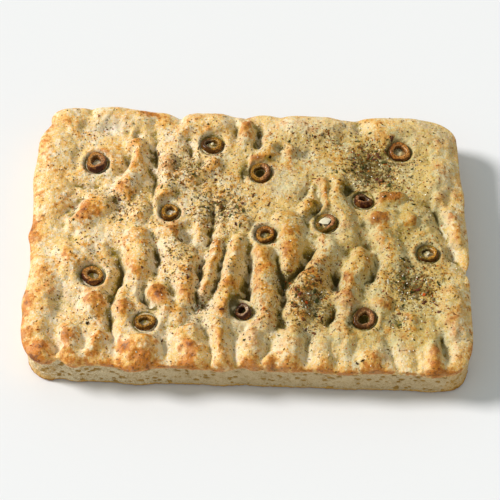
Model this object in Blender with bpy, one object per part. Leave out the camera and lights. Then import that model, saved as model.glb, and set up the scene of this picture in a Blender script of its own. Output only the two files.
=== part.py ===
"""Gluten-free focaccia with olive rings, as closed solids.

The bread is a low slab with rounded corners. Its top is a height function over the plan: a shoulder
that rises from the lip, a slight crown, hand-placed creases, dimples and lumps, and small seeded
pillows between them. The largest herb flakes are fused to the crust, and each olive ring is a solid
of its own, pressed into its dimple. Units are metres, +Z is up and the base lies on z = 0.
"""

import math
from typing import NamedTuple

import bmesh
import bpy
import numpy as np
from mathutils import Matrix, Vector
from mathutils.bvhtree import BVHTree

# Plan of the slab
HALF_WIDTH = 0.1475
HALF_DEPTH = 0.1030
CENTRE_Y = -0.0015
CORNER_RADIUS = 0.018
SIDE_LEAN = -0.0325

# Section of the slab
LIP_HEIGHT = 0.0275
PLATEAU_HEIGHT = 0.0310
CROWN_RISE = 0.0015
SHOULDER_REACH = 0.015
LIP_OVERHANG = 0.0009
BASE_ROUNDING = 0.0016
SKIRT_DEPTH = 0.003
SWELL_AT_BASE = 0.40
WALL_RIPPLE = 0.0005
WALL_RIPPLES = 23

# Shares of the way down the side where it turns in under the lip, and where the base's rounding starts
LIP_TURN = (0.03, 0.35)
BASE_TURN = 0.88

# Sampling of the surface before it is thinned
GRID_STEP = 0.0024
SHOULDER_STEPS = 6
WALL_STEPS = 11
BREAD_TRIANGLES = 6600

# Billows: round lumps with soft creases between them, as layers of step, stretch and height
BILLOW_SEED = 11
LATTICE_TURN = 0.4
BILLOW_LAYERS = ((0.0240, 1.0, 0.0018), (0.0120, 1.0, 0.0013), (0.0062, 1.0, 0.0008))
BILLOW_SOFTNESS = 0.1
BILLOW_MIDDLE = 0.4

# Relief placed by hand: how deep and soft furrows are, how round lumps are, and how both wander
DENT_GAIN = 1.0
LUMP_GAIN = 1.2
CREASE_SOFTNESS = 0.0009
CREASE_POWER = 2.4
CREASE_TAPER = 0.30
CREASE_END_DEPTH = 0.5
DIMPLE_SPREAD = 1.25
LUMP_POWER = 1.25
MEETING_POWER = 4.0
WANDER_STEP = 0.009
WANDER = 0.0014
DEPTH_CHANGE = 0.35
LUMPS_AT_LIP = 0.35
DENTS_AT_LIP = 0.55

# Olive rings
RING_OUTER_RADIUS = 0.0079
RING_HOLE_RADIUS = 0.0034
RING_THICKNESS = 0.0060
RING_BARREL = 0.0006
RING_SEGMENTS = 12
RING_LIFT = 0.0016
SEAT_GAP = 0.00035

# Corners closer than this are welded after the Booleans
WELD_DISTANCE = 0.00003

# Herb flakes fused to the crust
FLAKE_SEED = 5
FLAKE_COUNT = 76
FLAKE_SIDES = 5
FLAKE_LENGTHS = (0.0028, 0.0046)
FLAKE_WIDTH = 0.0015
FLAKE_THICKNESS = 0.0012
FLAKE_RING_CLEARANCE = 0.0115
FLAKE_SPACING = 0.0075
FLAKE_EDGE_CLEARANCE = 0.012


class Swell(NamedTuple):
    """A bulge or, where outward is negative, a notch of the outline."""

    x: float
    y: float
    outward: float
    reach: float


class Crease(NamedTuple):
    """A furrow along a path. lean above 0 makes its east wall steep and its west wall broad."""

    path: tuple
    depth: float
    reach: float
    lean: float = 0.0


class Dimple(NamedTuple):
    """A round-bottomed dent with its half widths along x and y."""

    x: float
    y: float
    half_x: float
    half_y: float
    depth: float


class Lump(NamedTuple):
    """A rounded rise along a path, or round one spot where the path has one point."""

    path: tuple
    height: float
    reach: float


class OliveRing(NamedTuple):
    """Where a ring lies, which way its face looks (compass from +x) and how it is squashed."""

    x: float
    y: float
    facing: float
    tilt: float
    size: float
    squash: float
    sink: float


SWELLS = (
    Swell(-0.149, 0.089, -0.0075, 0.009),
    Swell(-0.149, 0.040, 0.0020, 0.013),
    Swell(-0.148, -0.007, 0.0022, 0.006),
    Swell(-0.147, -0.033, -0.0012, 0.009),
    Swell(-0.146, -0.060, 0.0026, 0.009),
    Swell(-0.145, -0.080, 0.0016, 0.010),
    Swell(-0.125, 0.102, 0.0022, 0.011),
    Swell(-0.098, 0.101, 0.0040, 0.014),
    Swell(-0.052, 0.101, -0.0045, 0.007),
    Swell(-0.008, 0.101, -0.0035, 0.009),
    Swell(0.020, 0.101, -0.0020, 0.006),
    Swell(0.068, 0.101, -0.0035, 0.011),
    Swell(0.135, 0.099, -0.0030, 0.014),
    Swell(0.147, 0.035, 0.0015, 0.010),
    Swell(0.148, -0.005, 0.0018, 0.030),
    Swell(0.149, -0.027, -0.0025, 0.005),
    Swell(0.150, -0.095, -0.0025, 0.012),
    Swell(-0.120, -0.104, -0.0032, 0.005),
    Swell(-0.110, -0.104, 0.0013, 0.005),
    Swell(-0.071, -0.104, 0.0038, 0.010),
    Swell(-0.015, -0.104, 0.0015, 0.006),
    Swell(0.001, -0.104, -0.0018, 0.005),
    Swell(0.066, -0.104, 0.0016, 0.012),
    Swell(0.121, -0.104, 0.0016, 0.008),
)

CREASES = (
    # Back left quarter
    Crease(((-0.142, 0.084), (-0.128, 0.082)), 0.0020, 0.006),
    Crease(((-0.083, 0.064), (-0.085, 0.054), (-0.089, 0.042)), 0.0055, 0.008, 0.2),
    Crease(((-0.067, 0.080), (-0.066, 0.060), (-0.064, 0.044), (-0.066, 0.012)), 0.0075, 0.012, 0.35),
    Crease(((-0.118, 0.034), (-0.110, 0.032), (-0.102, 0.035)), 0.0040, 0.007),
    Crease(((-0.117, 0.024), (-0.119, 0.014), (-0.124, 0.003)), 0.0050, 0.010, 0.3),
    Crease(((-0.116, 0.104), (-0.114, 0.092)), 0.0030, 0.006),
    # Back middle
    Crease(((-0.052, 0.101), (-0.052, 0.088)), 0.0040, 0.008),
    Crease(((-0.044, 0.078), (-0.042, 0.060)), 0.0045, 0.008),
    Crease(((-0.033, 0.057), (-0.039, 0.049)), 0.0040, 0.008),
    Crease(((-0.005, 0.101), (-0.006, 0.090)), 0.0030, 0.008),
    Crease(((-0.012, 0.088), (-0.010, 0.074)), 0.0040, 0.006),
    Crease(((0.004, 0.088), (0.006, 0.071)), 0.0070, 0.010, 0.2),
    Crease(((-0.002, 0.056), (-0.003, 0.042)), 0.0045, 0.007),
    Crease(((-0.012, 0.027), (-0.020, 0.016)), 0.0040, 0.008),
    Crease(((0.044, 0.046), (0.038, 0.031), (0.033, 0.026)), 0.0035, 0.007),
    Crease(((0.048, 0.039), (0.049, 0.025), (0.045, 0.012)), 0.0055, 0.006),
    Crease(((0.055, 0.039), (0.056, 0.027)), 0.0030, 0.005),
    Crease(((0.074, 0.099), (0.075, 0.086)), 0.0040, 0.008),
    # Right side
    Crease(((0.122, 0.034), (0.127, 0.020), (0.133, 0.001), (0.140, -0.016), (0.147, -0.027)), 0.0055, 0.010, 0.2),
    Crease(((0.079, 0.010), (0.082, -0.002)), 0.0035, 0.006),
    Crease(((0.078, -0.002), (0.086, -0.016)), 0.0030, 0.006),
    Crease(((0.085, -0.018), (0.087, -0.030), (0.084, -0.038)), 0.0065, 0.009, 0.3),
    Crease(((0.130, -0.073), (0.130, -0.085), (0.132, -0.095)), 0.0050, 0.009),
    # Middle, where the ridges run from front to back
    Crease(((-0.063, -0.014), (-0.060, -0.028), (-0.060, -0.039)), 0.0060, 0.007, 0.1),
    Crease(((-0.089, -0.018), (-0.084, -0.034), (-0.085, -0.046), (-0.090, -0.064)), 0.0065, 0.010, 0.3),
    Crease(((-0.067, -0.043), (-0.067, -0.055), (-0.064, -0.062), (-0.057, -0.068)), 0.0060, 0.007),
    Crease(((-0.050, -0.043), (-0.045, -0.056)), 0.0045, 0.006),
    Crease(((-0.025, 0.027), (-0.025, 0.005), (-0.026, -0.020)), 0.0065, 0.009, 0.2),
    Crease(((-0.026, -0.020), (-0.031, -0.034), (-0.033, -0.050), (-0.032, -0.064)), 0.0070, 0.008),
    Crease(((-0.016, -0.008), (-0.017, -0.023), (-0.020, -0.045), (-0.027, -0.056)), 0.0050, 0.007),
    Crease(((0.002, -0.012), (0.001, -0.036), (0.001, -0.054), (-0.001, -0.077)), 0.0100, 0.010, 0.25),
    Crease(((0.020, -0.016), (0.022, -0.028), (0.024, -0.042), (0.025, -0.073)), 0.0065, 0.008),
    Crease(((0.047, -0.006), (0.042, -0.021), (0.034, -0.033), (0.026, -0.041)), 0.0080, 0.009),
    Crease(((0.058, -0.026), (0.060, -0.038), (0.061, -0.047)), 0.0095, 0.008),
    Crease(((0.060, -0.056), (0.055, -0.070)), 0.0075, 0.008),
    # Front edge, where the furrows run out over the lip
    Crease(((-0.089, -0.064), (-0.087, -0.076), (-0.086, -0.090)), 0.0055, 0.007),
    Crease(((-0.086, -0.088), (-0.085, -0.104)), 0.0030, 0.009),
    Crease(((-0.105, -0.086), (-0.103, -0.103)), 0.0022, 0.008),
    Crease(((-0.052, -0.079), (-0.050, -0.104)), 0.0034, 0.010),
    Crease(((-0.028, -0.072), (-0.023, -0.084), (-0.021, -0.102)), 0.0032, 0.007),
    Crease(((-0.004, -0.079), (-0.008, -0.087), (-0.004, -0.104)), 0.0038, 0.008),
    Crease(((0.019, -0.086), (0.009, -0.104)), 0.0034, 0.006),
    Crease(((0.046, -0.077), (0.041, -0.092), (0.041, -0.104)), 0.0030, 0.008),
    Crease(((0.063, -0.084), (0.062, -0.104)), 0.0022, 0.008),
    Crease(((0.094, -0.080), (0.097, -0.091), (0.102, -0.102)), 0.0036, 0.007),
    Crease(((0.112, -0.092), (0.113, -0.104)), 0.0030, 0.006),
)

DIMPLES = (
    Dimple(-0.102, 0.084, 0.014, 0.008, 0.0030),
    Dimple(-0.090, 0.081, 0.005, 0.005, 0.0035),
    Dimple(-0.079, 0.079, 0.005, 0.005, 0.0030),
    Dimple(0.021, 0.070, 0.005, 0.005, 0.0045),
    Dimple(0.037, 0.066, 0.007, 0.006, 0.0040),
    Dimple(-0.090, 0.019, 0.007, 0.007, 0.0045),
    Dimple(-0.090, -0.018, 0.007, 0.007, 0.0045),
    Dimple(-0.041, -0.004, 0.008, 0.011, 0.0060),
    Dimple(0.085, 0.056, 0.018, 0.022, 0.0045),
    Dimple(0.073, 0.033, 0.009, 0.007, 0.0040),
    Dimple(0.099, 0.048, 0.008, 0.008, 0.0030),
    Dimple(0.102, 0.012, 0.008, 0.007, 0.0030),
    Dimple(-0.118, -0.058, 0.012, 0.014, 0.0022),
    Dimple(0.024, -0.041, 0.007, 0.007, 0.0055),
    Dimple(0.043, 0.010, 0.007, 0.008, 0.0060),
    Dimple(-0.028, -0.056, 0.007, 0.007, 0.0045),
    Dimple(-0.1232, -0.0915, 0.0060, 0.0100, 0.0060),
    Dimple(0.102, -0.069, 0.007, 0.006, 0.0045),
    Dimple(0.112, -0.040, 0.016, 0.017, 0.0030),
)

LUMPS = (
    # Back left quarter
    Lump(((-0.132, 0.090),), 0.0035, 0.014),
    Lump(((-0.106, 0.096), (-0.080, 0.094)), 0.0035, 0.012),
    Lump(((-0.139, 0.068), (-0.138, 0.020)), 0.0030, 0.018),
    Lump(((-0.081, 0.068), (-0.077, 0.055), (-0.081, 0.043), (-0.087, 0.029)), 0.0045, 0.009),
    Lump(((-0.060, 0.056), (-0.057, 0.040), (-0.060, 0.024)), 0.0045, 0.009),
    Lump(((-0.117, 0.005), (-0.102, 0.017)), 0.0045, 0.011),
    Lump(((-0.072, 0.013),), 0.0040, 0.010),
    # Back middle
    Lump(((-0.044, 0.090), (-0.024, 0.091)), 0.0040, 0.013),
    Lump(((-0.051, 0.039), (-0.037, 0.046), (-0.026, 0.052)), 0.0040, 0.009),
    Lump(((-0.054, -0.004),), 0.0040, 0.009),
    Lump(((-0.007, 0.093), (-0.004, 0.078)), 0.0040, 0.008),
    Lump(((0.005, 0.058), (0.013, 0.065)), 0.0030, 0.007),
    Lump(((0.027, 0.067),), 0.0035, 0.006),
    Lump(((0.028, 0.090), (0.055, 0.088)), 0.0035, 0.013),
    Lump(((-0.006, 0.006),), 0.0035, 0.010),
    Lump(((0.040, 0.022), (0.038, 0.014)), 0.0040, 0.007),
    Lump(((0.051, 0.041), (0.052, 0.018)), 0.0040, 0.005),
    # Right side
    Lump(((0.095, 0.090), (0.112, 0.090), (0.130, 0.078)), 0.0040, 0.015),
    Lump(((0.060, 0.038), (0.063, 0.016), (0.066, -0.006)), 0.0045, 0.010),
    Lump(((0.091, 0.028), (0.101, 0.031)), 0.0040, 0.007),
    Lump(((0.087, 0.012), (0.107, 0.010)), 0.0045, 0.009),
    Lump(((0.128, 0.036), (0.132, 0.055)), 0.0035, 0.012),
    Lump(((0.139, 0.013), (0.141, -0.002)), 0.0040, 0.009),
    Lump(((0.093, -0.002), (0.098, -0.020)), 0.0045, 0.011),
    Lump(((0.091, -0.055),), 0.0040, 0.009),
    Lump(((0.110, -0.068),), 0.0035, 0.009),
    Lump(((0.138, -0.045), (0.137, -0.072)), 0.0040, 0.011),
    # Middle, ridges between the furrows
    Lump(((-0.117, -0.028),), 0.0040, 0.018),
    Lump(((-0.136, -0.035), (-0.138, -0.075)), 0.0035, 0.014),
    Lump(((-0.101, -0.060),), 0.0040, 0.012),
    Lump(((-0.075, -0.010), (-0.073, -0.036)), 0.0045, 0.011),
    Lump(((-0.081, -0.064),), 0.0045, 0.009),
    Lump(((-0.059, -0.053), (-0.053, -0.065)), 0.0050, 0.009),
    Lump(((-0.050, -0.017), (-0.040, -0.030), (-0.038, -0.053)), 0.0045, 0.012),
    Lump(((-0.020, -0.012), (-0.023, -0.028), (-0.029, -0.052)), 0.0042, 0.007),
    Lump(((-0.005, -0.014), (-0.010, -0.032), (-0.014, -0.062)), 0.0052, 0.011),
    Lump(((0.010, -0.020), (0.012, -0.042), (0.013, -0.070)), 0.0050, 0.011),
    Lump(((0.025, 0.006), (0.029, -0.008), (0.027, -0.028)), 0.0050, 0.012),
    Lump(((0.054, -0.012), (0.043, -0.038), (0.034, -0.064)), 0.0055, 0.012),
    Lump(((0.077, -0.020), (0.070, -0.038), (0.067, -0.052)), 0.0050, 0.010),
    # Front edge
    Lump(((-0.132, -0.098),), 0.0040, 0.011),
    Lump(((-0.115, -0.084), (-0.113, -0.100)), 0.0040, 0.009),
    Lump(((-0.108, -0.103), (-0.099, -0.097), (-0.095, -0.086)), 0.0034, 0.006),
    Lump(((-0.067, -0.093),), 0.0060, 0.015),
    Lump(((-0.046, -0.068),), 0.0040, 0.008),
    Lump(((-0.037, -0.083), (-0.029, -0.101)), 0.0050, 0.010),
    Lump(((-0.018, -0.074), (-0.013, -0.101)), 0.0045, 0.009),
    Lump(((0.005, -0.084), (0.006, -0.099)), 0.0045, 0.010),
    Lump(((0.017, -0.100),), 0.0030, 0.007),
    Lump(((0.032, -0.082), (0.030, -0.099)), 0.0045, 0.011),
    Lump(((0.052, -0.086), (0.052, -0.098)), 0.0035, 0.009),
    Lump(((0.064, -0.074), (0.064, -0.090)), 0.0035, 0.009),
    Lump(((0.084, -0.097),), 0.0035, 0.010),
    Lump(((0.124, -0.086), (0.125, -0.101)), 0.0045, 0.007),
)

OLIVE_RINGS = (
    OliveRing(-0.1075, 0.0534, 115.0, 13.0, 0.99, 1.18, -0.0012),
    OliveRing(-0.0277, 0.0715, 80.0, 5.0, 1.01, 0.93, 0.0004),
    OliveRing(0.0069, 0.0484, 250.0, 12.0, 0.94, 1.14, -0.0002),
    OliveRing(0.1038, 0.0700, 290.0, 9.0, 0.98, 1.12, 0.0000),
    OliveRing(-0.0539, 0.0134, 90.0, 4.0, 0.85, 0.97, 0.0004),
    OliveRing(0.0117, -0.0032, 200.0, 4.0, 0.86, 1.03, 0.0004),
    OliveRing(0.0528, 0.0077, 180.0, 13.0, 0.93, 1.10, 0.0004),
    OliveRing(0.0782, 0.0270, 70.0, 20.0, 0.91, 0.75, 0.0006),
    OliveRing(0.1215, -0.0144, 190.0, 9.0, 0.91, 1.00, 0.0004),
    OliveRing(-0.1023, -0.0392, 50.0, 9.0, 0.98, 1.00, 0.0000),
    OliveRing(-0.0653, -0.0738, 80.0, 8.0, 0.94, 0.86, 0.0006),
    OliveRing(-0.0011, -0.0640, 165.0, 26.0, 0.74, 1.00, -0.0002),
    OliveRing(0.0784, -0.0667, 260.0, 7.0, 0.98, 1.08, 0.0004),
)
OLIVE_DIMPLE_RADIUS = 0.0125
OLIVE_DIMPLE_DEPTH = 0.0030
OLIVE_CLEARING = 1.8

# Where herbs lie thickest: x, y and how far the patch reaches
HERB_PATCHES = (
    (0.081, 0.055, 0.030),
    (0.112, -0.040, 0.026),
    (-0.045, 0.042, 0.028),
    (-0.020, 0.018, 0.030),
    (0.045, -0.060, 0.045),
)
PLAIN_HERB_SHARE = 0.25
BARE_WEST_EDGE = -0.128


def clear_scene() -> None:
    for item in list(bpy.data.objects):
        bpy.data.objects.remove(item, do_unlink=True)


def plan_distance(x, y):
    """Signed distance to the slab's plain outline (inside is negative) and its outward direction."""
    straight_x = x - SIDE_LEAN * y
    straight_y = y - CENTRE_Y
    over_x = np.abs(straight_x) - (HALF_WIDTH - CORNER_RADIUS)
    over_y = np.abs(straight_y) - (HALF_DEPTH - CORNER_RADIUS)
    corner = np.hypot(np.maximum(over_x, 0.0), np.maximum(over_y, 0.0))
    distance = corner + np.minimum(np.maximum(over_x, over_y), 0.0) - CORNER_RADIUS
    away_x = np.where(corner > 0.0, np.maximum(over_x, 0.0), (over_x > over_y) * 1.0)
    away_y = np.where(corner > 0.0, np.maximum(over_y, 0.0), (over_x <= over_y) * 1.0)
    length = np.maximum(np.hypot(away_x, away_y), 1e-9)
    return distance, np.sign(straight_x) * away_x / length, np.sign(straight_y) * away_y / length


def outline_swell(x, y):
    """How far the outline stands out of its plain rounded rectangle near x, y."""
    total = np.zeros_like(x)
    for swell in SWELLS:
        squared = ((x - swell.x) ** 2 + (y - swell.y) ** 2) / swell.reach**2
        total += swell.outward * np.exp(-squared)
    return total


def distance_to_path(x, y, path):
    """Distance to a path of straight stretches, side (+1 east, -1 west) and share of the way along."""
    if len(path) == 1:
        return np.hypot(x - path[0][0], y - path[0][1]), np.ones_like(x), np.full_like(x, 0.5)
    nearest = np.full_like(x, np.inf)
    side = np.ones_like(x)
    way = np.zeros_like(x)
    for number, ((x0, y0), (x1, y1)) in enumerate(zip(path, path[1:])):
        run_x, run_y = x1 - x0, y1 - y0
        along = ((x - x0) * run_x + (y - y0) * run_y) / (run_x**2 + run_y**2)
        along = np.clip(along, 0.0, 1.0)
        off_x, off_y = x - x0 - along * run_x, y - y0 - along * run_y
        distance = np.hypot(off_x, off_y)
        closer = distance < nearest
        nearest = np.where(closer, distance, nearest)
        side = np.where(closer, np.where(off_x >= 0.0, 1.0, -1.0), side)
        way = np.where(closer, (number + along) / (len(path) - 1), way)
    return nearest, side, way


def smooth_noise(x, y, step_x: float, step_y: float, seed: int):
    """Seeded noise from -1 to 1: random values on a turned lattice, blended by an S-curve."""
    turn = LATTICE_TURN * (1 + seed % 3)
    across = (x * math.cos(turn) + y * math.sin(turn)) / step_x
    along = (y * math.cos(turn) - x * math.sin(turn)) / step_y
    columns = int(3 * HALF_WIDTH / step_x) + 4
    rows = int(3 * HALF_WIDTH / step_y) + 4
    values = np.random.default_rng(seed).uniform(-1.0, 1.0, (columns, rows))
    place_x = np.clip(across + columns / 2, 0.0, columns - 1.001)
    place_y = np.clip(along + rows / 2, 0.0, rows - 1.001)
    column, row = place_x.astype(int), place_y.astype(int)
    part_x, part_y = place_x - column, place_y - row
    part_x = part_x**2 * (3.0 - 2.0 * part_x)
    part_y = part_y**2 * (3.0 - 2.0 * part_y)
    near = values[column, row] * (1.0 - part_y) + values[column, row + 1] * part_y
    far = values[column + 1, row] * (1.0 - part_y) + values[column + 1, row + 1] * part_y
    return near * (1.0 - part_x) + far * part_x


def billow_relief(x, y):
    """Rise of the small lumps: the absolute value of noise has round tops and soft creases."""
    total = np.zeros_like(x)
    for number, (step, stretch, height) in enumerate(BILLOW_LAYERS):
        noise = smooth_noise(x, y, step, step * stretch, BILLOW_SEED + number)
        total += height * (np.hypot(noise, BILLOW_SOFTNESS) - BILLOW_MIDDLE)
    return total


def wander(x, y):
    """The place moved a little by seeded noise, so that furrows and lumps don't run straight."""
    off_x = WANDER * smooth_noise(x, y, WANDER_STEP, WANDER_STEP, BILLOW_SEED + 20)
    off_y = WANDER * smooth_noise(x, y, WANDER_STEP, WANDER_STEP, BILLOW_SEED + 21)
    return x + off_x, y + off_y


def olive_bowls(x, y):
    """Round bowl under each olive ring, from 0 outside to 1 in the middle."""
    bowl = np.zeros_like(x)
    for ring in OLIVE_RINGS:
        away = np.hypot(x - ring.x, y - ring.y) / OLIVE_DIMPLE_RADIUS
        bowl = np.maximum(bowl, 1.0 - np.minimum(away, 1.0) ** 2)
    return bowl


def clear_of_olives(x, y):
    """1 away from the olive rings and 0 close to one, where the crust is pressed smooth."""
    return 1.0 - np.minimum(OLIVE_CLEARING * olive_bowls(x, y), 1.0)


def dent_depth(x, y):
    """Depth of creases, dimples and olive bowls together; where they cross, the deeper one rules."""
    moved_x, moved_y = wander(x, y)
    change = 1.0 + DEPTH_CHANGE * smooth_noise(x, y, WANDER_STEP, WANDER_STEP, BILLOW_SEED + 22)
    total = np.zeros_like(x)
    for crease in CREASES:
        distance, side, way = distance_to_path(moved_x, moved_y, crease.path)
        distance = np.hypot(distance, CREASE_SOFTNESS) - CREASE_SOFTNESS
        reach = crease.reach * (1.0 - side * crease.lean)
        from_end = np.clip(np.minimum(way, 1.0 - way) / CREASE_TAPER, 0.0, 1.0)
        taper = CREASE_END_DEPTH + (1.0 - CREASE_END_DEPTH) * from_end
        depth = DENT_GAIN * crease.depth * taper * change
        total += (depth * (1.0 - np.minimum(distance / reach, 1.0)) ** CREASE_POWER) ** MEETING_POWER
    for dimple in DIMPLES:
        away = np.hypot((moved_x - dimple.x) / dimple.half_x, (moved_y - dimple.y) / dimple.half_y)
        bowl = (1.0 - np.minimum(away / DIMPLE_SPREAD, 1.0) ** 2) ** 2
        total += (DENT_GAIN * dimple.depth * change * bowl) ** MEETING_POWER
    bowl = OLIVE_DIMPLE_DEPTH * olive_bowls(x, y) ** 1.5
    total = total * clear_of_olives(x, y) ** MEETING_POWER + bowl**MEETING_POWER
    return total ** (1.0 / MEETING_POWER)


def lump_rise(x, y):
    """Rise of the ridges and lumps; where two meet, the higher one rules and leaves a crease."""
    moved_x, moved_y = wander(x, y)
    total = np.zeros_like(x)
    for lump in LUMPS:
        distance, _, _ = distance_to_path(moved_x, moved_y, lump.path)
        dome = (1.0 - np.minimum(distance / lump.reach, 1.0) ** 2) ** LUMP_POWER
        total += (LUMP_GAIN * lump.height * dome) ** MEETING_POWER
    return total ** (1.0 / MEETING_POWER)


def crust_height(x, y):
    """Height of the crust over the plan: shoulder and crown, less dents, plus lumps."""
    distance, _, _ = plan_distance(x, y)
    inset = np.clip(outline_swell(x, y) - distance, 0.0, SHOULDER_REACH)
    shoulder = np.sqrt(1.0 - (1.0 - inset / SHOULDER_REACH) ** 2)
    crown = CROWN_RISE * (1.0 - (x / HALF_WIDTH) ** 2) * (1.0 - (y / HALF_DEPTH) ** 2)
    body = LIP_HEIGHT + (PLATEAU_HEIGHT - LIP_HEIGHT) * shoulder + crown
    lumps = lump_rise(x, y) * (LUMPS_AT_LIP + (1.0 - LUMPS_AT_LIP) * shoulder)
    billows = billow_relief(x, y) * shoulder**2
    dents = dent_depth(x, y) * (DENTS_AT_LIP + (1.0 - DENTS_AT_LIP) * shoulder)
    return body + (lumps + billows) * clear_of_olives(x, y) - dents


def grid_places(half: float):
    """Places along one axis: close together on the shoulders, then even steps between them."""
    turn = np.linspace(0.0, math.pi / 2, SHOULDER_STEPS + 1)
    shoulder = SHOULDER_REACH * (1.0 - np.cos(turn))
    inner = half - SHOULDER_REACH
    middle = np.linspace(-inner, inner, int(round(2 * inner / GRID_STEP)) + 1)
    return np.concatenate([-half + shoulder[:-1], middle, half - shoulder[-2::-1]])


def plan_grid():
    """Grid over the rectangle with its corner squares bent into quarter discs."""
    x, y = np.meshgrid(grid_places(HALF_WIDTH), grid_places(HALF_DEPTH), indexing="ij")
    block_x, block_y = HALF_WIDTH - CORNER_RADIUS, HALF_DEPTH - CORNER_RADIUS
    part_x = np.maximum(np.abs(x) - block_x, 0.0) / CORNER_RADIUS
    part_y = np.maximum(np.abs(y) - block_y, 0.0) / CORNER_RADIUS
    in_corner = (part_x > 0.0) & (part_y > 0.0)
    bent_x = np.sign(x) * (block_x + CORNER_RADIUS * part_x * np.sqrt(1.0 - part_y**2 / 2))
    bent_y = np.sign(y) * (block_y + CORNER_RADIUS * part_y * np.sqrt(1.0 - part_x**2 / 2))
    x = np.where(in_corner, bent_x, x)
    y = np.where(in_corner, bent_y, y) + CENTRE_Y
    x = x + SIDE_LEAN * y
    _, away_x, away_y = plan_distance(x, y)
    outward = outline_swell(x, y)
    return x + away_x * outward, y + away_y * outward


def rim_order(columns: int, rows: int):
    """Grid indices of the rim, once round, anticlockwise as seen from above."""
    index = np.arange(columns * rows).reshape(columns, rows)
    return np.concatenate([index[:-1, 0], index[-1, :-1], index[:0:-1, -1], index[0, :0:-1]])


def wall_inset(down):
    """How far the side lies in from the lip, for a share down of the way from lip to base."""
    under_lip = np.clip((down - LIP_TURN[0]) / (LIP_TURN[1] - LIP_TURN[0]), 0.0, 1.0)
    at_base = np.clip((down - BASE_TURN) / (1.0 - BASE_TURN), 0.0, 1.0)
    eased = under_lip**2 * (3.0 - 2.0 * under_lip)
    return LIP_OVERHANG * eased + BASE_ROUNDING * at_base**2


def bread_mesh():
    """Top grid, side wall rows down to a skirt under the base, and the skirt's closing face."""
    x, y = plan_grid()
    columns, rows = x.shape
    z = crust_height(x, y)
    points = [np.stack([x, y, z], axis=-1).reshape(-1, 3)]
    index = np.arange(columns * rows).reshape(columns, rows)
    quads = np.stack([index[:-1, :-1], index[1:, :-1], index[1:, 1:], index[:-1, 1:]], axis=-1)
    faces = quads.reshape(-1, 4).tolist()
    rim = rim_order(columns, rows)
    rim_points = points[0][rim]
    _, away_x, away_y = plan_distance(rim_points[:, 0], rim_points[:, 1])
    outward = np.stack([away_x, away_y], axis=-1)
    swell = outline_swell(rim_points[:, 0], rim_points[:, 1])
    along = np.arange(len(rim)) * 2.0 * math.pi / len(rim)
    above = rim
    start = columns * rows
    for down in list(np.linspace(0.0, 1.0, WALL_STEPS + 1)[1:]) + [None]:
        share = 1.0 if down is None else down
        ripple = WALL_RIPPLE * np.sin(WALL_RIPPLES * along + 5.0 * share) * math.sin(math.pi * share)
        inset = wall_inset(share) + ripple + swell * (1.0 - SWELL_AT_BASE) * share
        place = rim_points[:, :2] - outward * inset[:, None]
        height = -SKIRT_DEPTH if down is None else rim_points[:, 2] * (1.0 - share)
        row = np.column_stack([place, np.broadcast_to(height, len(rim))])
        points.append(row)
        below = start + np.arange(len(rim))
        around = np.stack([above, below, np.roll(below, -1), np.roll(above, -1)], axis=-1)
        faces += around.tolist()
        above = below
        start += len(rim)
    faces.append(above[::-1].tolist())
    mesh = bpy.data.meshes.new("focaccia")
    mesh.from_pydata(np.concatenate(points).tolist(), [], faces)
    return mesh


def apply_modifiers(item) -> None:
    """Give the object the mesh that its modifiers make, and take the modifiers off."""
    evaluated = item.evaluated_get(bpy.context.evaluated_depsgraph_get())
    old = item.data
    item.data = bpy.data.meshes.new_from_object(evaluated)
    item.modifiers.clear()
    item.data.name = item.name
    bpy.data.meshes.remove(old)


def cut_base_flat(mesh) -> None:
    """Cut the skirt off at z = 0 and close the bread with one flat face."""
    work = bmesh.new()
    work.from_mesh(mesh)
    everything = work.verts[:] + work.edges[:] + work.faces[:]
    cut = bmesh.ops.bisect_plane(
        work, geom=everything, dist=1e-6, plane_co=(0, 0, 0), plane_no=(0, 0, -1), clear_outer=True
    )
    edges = [part for part in cut["geom_cut"] if isinstance(part, bmesh.types.BMEdge)]
    for edge in edges:
        for vert in edge.verts:
            vert.co.z = 0.0
    base = bmesh.ops.edgeloop_fill(work, edges=edges)["faces"]
    if base[0].normal.z > 0.0:
        bmesh.ops.reverse_faces(work, faces=base)
    bmesh.ops.triangulate(work, faces=work.faces[:])
    work.to_mesh(mesh)
    work.free()


def make_bread(parent):
    bread = bpy.data.objects.new("focaccia", bread_mesh())
    bpy.context.scene.collection.objects.link(bread)
    bread.parent = parent
    split = bread.modifiers.new("triangles", "TRIANGULATE")
    split.quad_method = "SHORTEST_DIAGONAL"
    apply_modifiers(bread)
    thin = bread.modifiers.new("thin", "DECIMATE")
    thin.ratio = BREAD_TRIANGLES / len(bread.data.polygons)
    apply_modifiers(bread)
    cut_base_flat(bread.data)
    return bread


def ring_profile(grow: float):
    """Half section of a ring as radius and height: flat faces, a barrel side, a straight hole."""
    half = RING_THICKNESS / 2 + grow
    outer = RING_OUTER_RADIUS + grow
    inner = RING_HOLE_RADIUS - grow
    edge = outer - RING_BARREL
    return ((inner, -half), (edge, -half), (outer, 0.0), (edge, half), (inner, half))


def ring_mesh(name: str, grow: float):
    """Turn the half section round z into a closed ring."""
    section = np.array(ring_profile(grow))
    turns = np.arange(RING_SEGMENTS) * 2.0 * math.pi / RING_SEGMENTS
    radius, height = section[:, 0], section[:, 1]
    points = np.stack(
        [
            np.cos(turns)[:, None] * radius,
            np.sin(turns)[:, None] * radius,
            np.broadcast_to(height, (RING_SEGMENTS, len(section))),
        ],
        axis=-1,
    )
    index = np.arange(RING_SEGMENTS * len(section)).reshape(RING_SEGMENTS, len(section))
    on, up = np.roll(index, -1, axis=0), np.roll(index, -1, axis=1)
    both = np.roll(on, -1, axis=1)
    faces = np.stack([index, on, both, up], axis=-1).reshape(-1, 4)
    mesh = bpy.data.meshes.new(name)
    mesh.from_pydata(points.reshape(-1, 3).tolist(), [], faces.tolist())
    mesh.update()
    return mesh


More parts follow.
